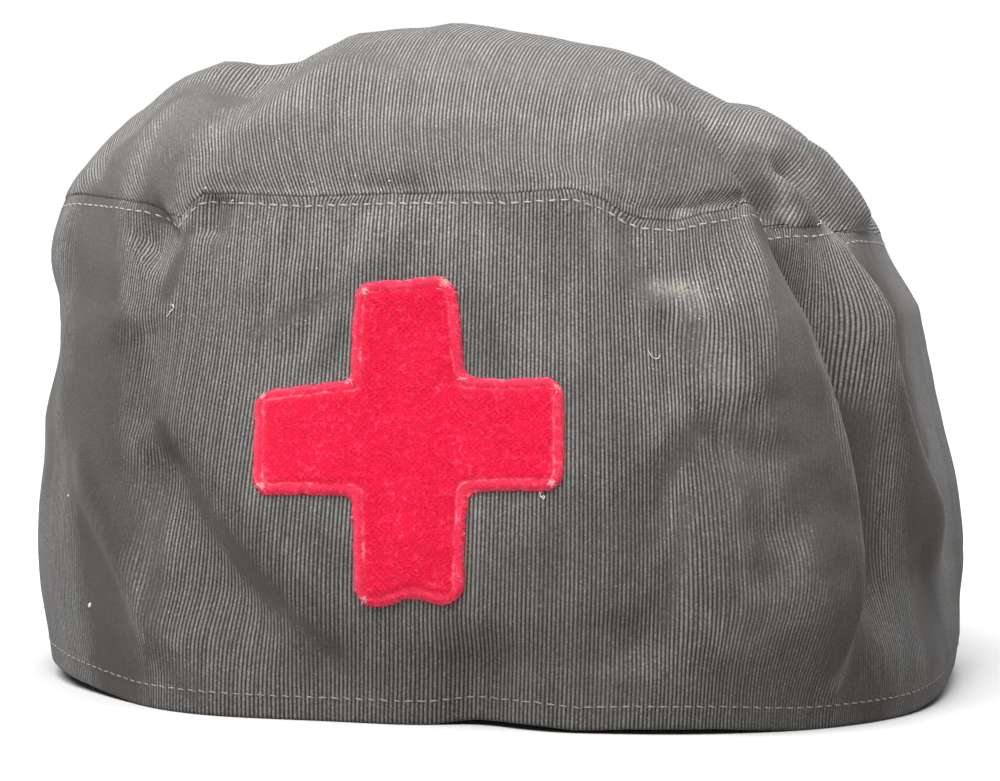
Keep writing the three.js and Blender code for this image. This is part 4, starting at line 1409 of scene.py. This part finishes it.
class CAP_OT_lint(bpy.types.Operator):
    """Drop a little fluff and some loose threads on the cap"""

    bl_idname = "cap.lint"
    bl_label = "Lint"

    def execute(self, context):
        finish = thread("lint", colours().lint, colours().thread)
        bm = bmesh.new()
        chance = random.Random(5)
        for angle, level, size in SPECKS:
            spot = on_cloth(angle, level, SPECK_LIFT)
            rolled = Matrix.Rotation(chance.uniform(0.0, math.pi), 4, "Y")
            stretched = Matrix.Diagonal((size * MM, 0.4 * size * MM, 0.6 * size * MM, 1.0))
            place = Matrix.Translation(spot) @ rolled @ stretched
            bmesh.ops.create_icosphere(bm, subdivisions=1, radius=1.0, matrix=place)
        specks = make_object("lint_specks", bm, finish)
        data = bpy.data.curves.new("loose_threads", "CURVE")
        data.dimensions, data.bevel_depth, data.bevel_resolution = "3D", THREAD_RADIUS * MM, 1
        data.use_fill_caps = True
        for angle, level, steps in THREADS:
            spots = [(angle, level)]
            for aside, rise in steps:
                spots.append((spots[-1][0] + math.degrees(aside / RIM_HALF_WIDTH), spots[-1][1] + up(rise)))
            line = data.splines.new("BEZIER")
            line.bezier_points.add(len(spots) - 1)
            for knot, (spot_angle, spot_level) in zip(line.bezier_points, spots):
                knot.co = on_cloth(spot_angle, spot_level, THREAD_LIFT)
                knot.handle_left_type = knot.handle_right_type = "AUTO"
        data.materials.append(finish)
        for piece in (specks, linked("loose_threads", data)):
            dress(piece)
        return {"FINISHED"}


# The stage, in metres and degrees
FLOOR_HALF = 6.0
KEY_FROM = (-0.3, -0.66, 1.25)
TOP_FROM = (0.25, 0.3, 1.3)
TOP_SHARE = 0.35  # of the key light's strength
LIGHT_SPREAD = 45.0
WALL_TOP = 0.2
WALL_SHARPNESS = 10.0
VIEW_DISTANCE = 0.7
VIEW_HEIGHT = 0.094
VIEW_ROLL = 1.5
AIM_ASIDE = -0.0011
AIM_HEIGHT = 0.0556
LENS = 122.98  # millimetres, as the sensor's width
SENSOR_WIDTH = 36.0


class CAP_OT_stage(bpy.types.Operator):
    """Lay the floor and set the light and the camera"""

    bl_idname = "cap.stage"
    bl_label = "Stage"

    def execute(self, context):
        settings = context.scene.stage_settings
        bm = bmesh.new()
        bmesh.ops.create_grid(bm, x_segments=1, y_segments=1, size=FLOOR_HALF)
        floor = make_object("floor", bm, floor_paper("floor_paper", colours().floor))
        self.light("key", KEY_FROM, settings.key_power)
        self.light("top", TOP_FROM, settings.key_power * TOP_SHARE)
        context.scene.world = self.studio(settings)
        context.scene.view_settings.view_transform = "Standard"
        self.camera(context)
        return {"FINISHED"}

    def studio(self, settings):
        """White walls low down, and a dimmer ceiling, so that the lamps shape the cloth."""
        world = bpy.data.worlds.new("studio")
        sky = Nodes(world)
        height = sky.parts(sky.node("ShaderNodeTexCoord", output="Generated"))[2]
        wall = sky.clamp((WALL_TOP - height) * WALL_SHARPNESS)
        colour = sky.mix(wall, (settings.ceiling,) * 3, (1.0, 1.0, 1.0))
        glow = sky.node("ShaderNodeBackground", Color=colour, Strength=1.0)
        sky.node("ShaderNodeOutputWorld", Surface=glow)
        return world

    def light(self, name, spot, power):
        """A large soft light, as even on the floor as on the cap."""
        data = bpy.data.lights.new(name, "SUN")
        data.energy, data.angle = power, math.radians(LIGHT_SPREAD)
        linked(name, data).rotation_euler = Vector(spot).to_track_quat("Z", "Y").to_euler()

    def camera(self, context):
        shift = Vector(SHIFT)
        spot = Vector(TOWARDS_VIEW) * VIEW_DISTANCE + Vector((0, 0, VIEW_HEIGHT)) + shift
        aim = Vector(VIEW_RIGHT) * AIM_ASIDE + Vector((0, 0, AIM_HEIGHT)) + shift
        data = bpy.data.cameras.new("camera")
        data.lens, data.sensor_width = LENS, SENSOR_WIDTH
        data.clip_start, data.clip_end = 0.05, 20.0
        camera = linked("camera", data)
        roll = Matrix.Rotation(math.radians(VIEW_ROLL), 4, "Z")
        camera.matrix_world = Matrix.Translation(spot) @ turned(aim - spot, "-Z", "Y") @ roll
        context.scene.camera = camera


class CAP_PT_panel(bpy.types.Panel):
    """The cap's sizes, colours and pieces"""

    bl_idname = "CAP_PT_panel"
    bl_label = "Nurse's Cap"
    bl_space_type = "VIEW_3D"
    bl_region_type = "UI"
    bl_category = "Nurse's Cap"

    def draw(self, context):
        for title, group in (
            ("Sizes", context.scene.cap_sizes),
            ("Colours", context.scene.cap_colours),
            ("Stage", context.scene.stage_settings),
        ):
            box = self.layout.box()
            box.label(text=title)
            for key in group.__annotations__:
                box.prop(group, key)
        for operator in OPERATORS:
            self.layout.operator(operator.bl_idname)


OPERATORS = (CAP_OT_stage, CAP_OT_band, CAP_OT_crown, CAP_OT_cross, CAP_OT_fuzz, CAP_OT_stitches, CAP_OT_lint)
GROUPS = {"cap_sizes": CapSizes, "cap_colours": CapColours, "stage_settings": StageSettings}


def register():
    for made in (*GROUPS.values(), *OPERATORS, CAP_PT_panel):
        bpy.utils.register_class(made)
    for name, group in GROUPS.items():
        setattr(bpy.types.Scene, name, bpy.props.PointerProperty(type=group))


def unregister():
    for name in GROUPS:
        delattr(bpy.types.Scene, name)
    for made in (CAP_PT_panel, *OPERATORS[::-1], *GROUPS.values()):
        bpy.utils.unregister_class(made)


def main():
    register()
    for operator in OPERATORS:
        family, name = operator.bl_idname.split(".")
        getattr(getattr(bpy.ops, family), name)()


if __name__ == "__main__":
    main()
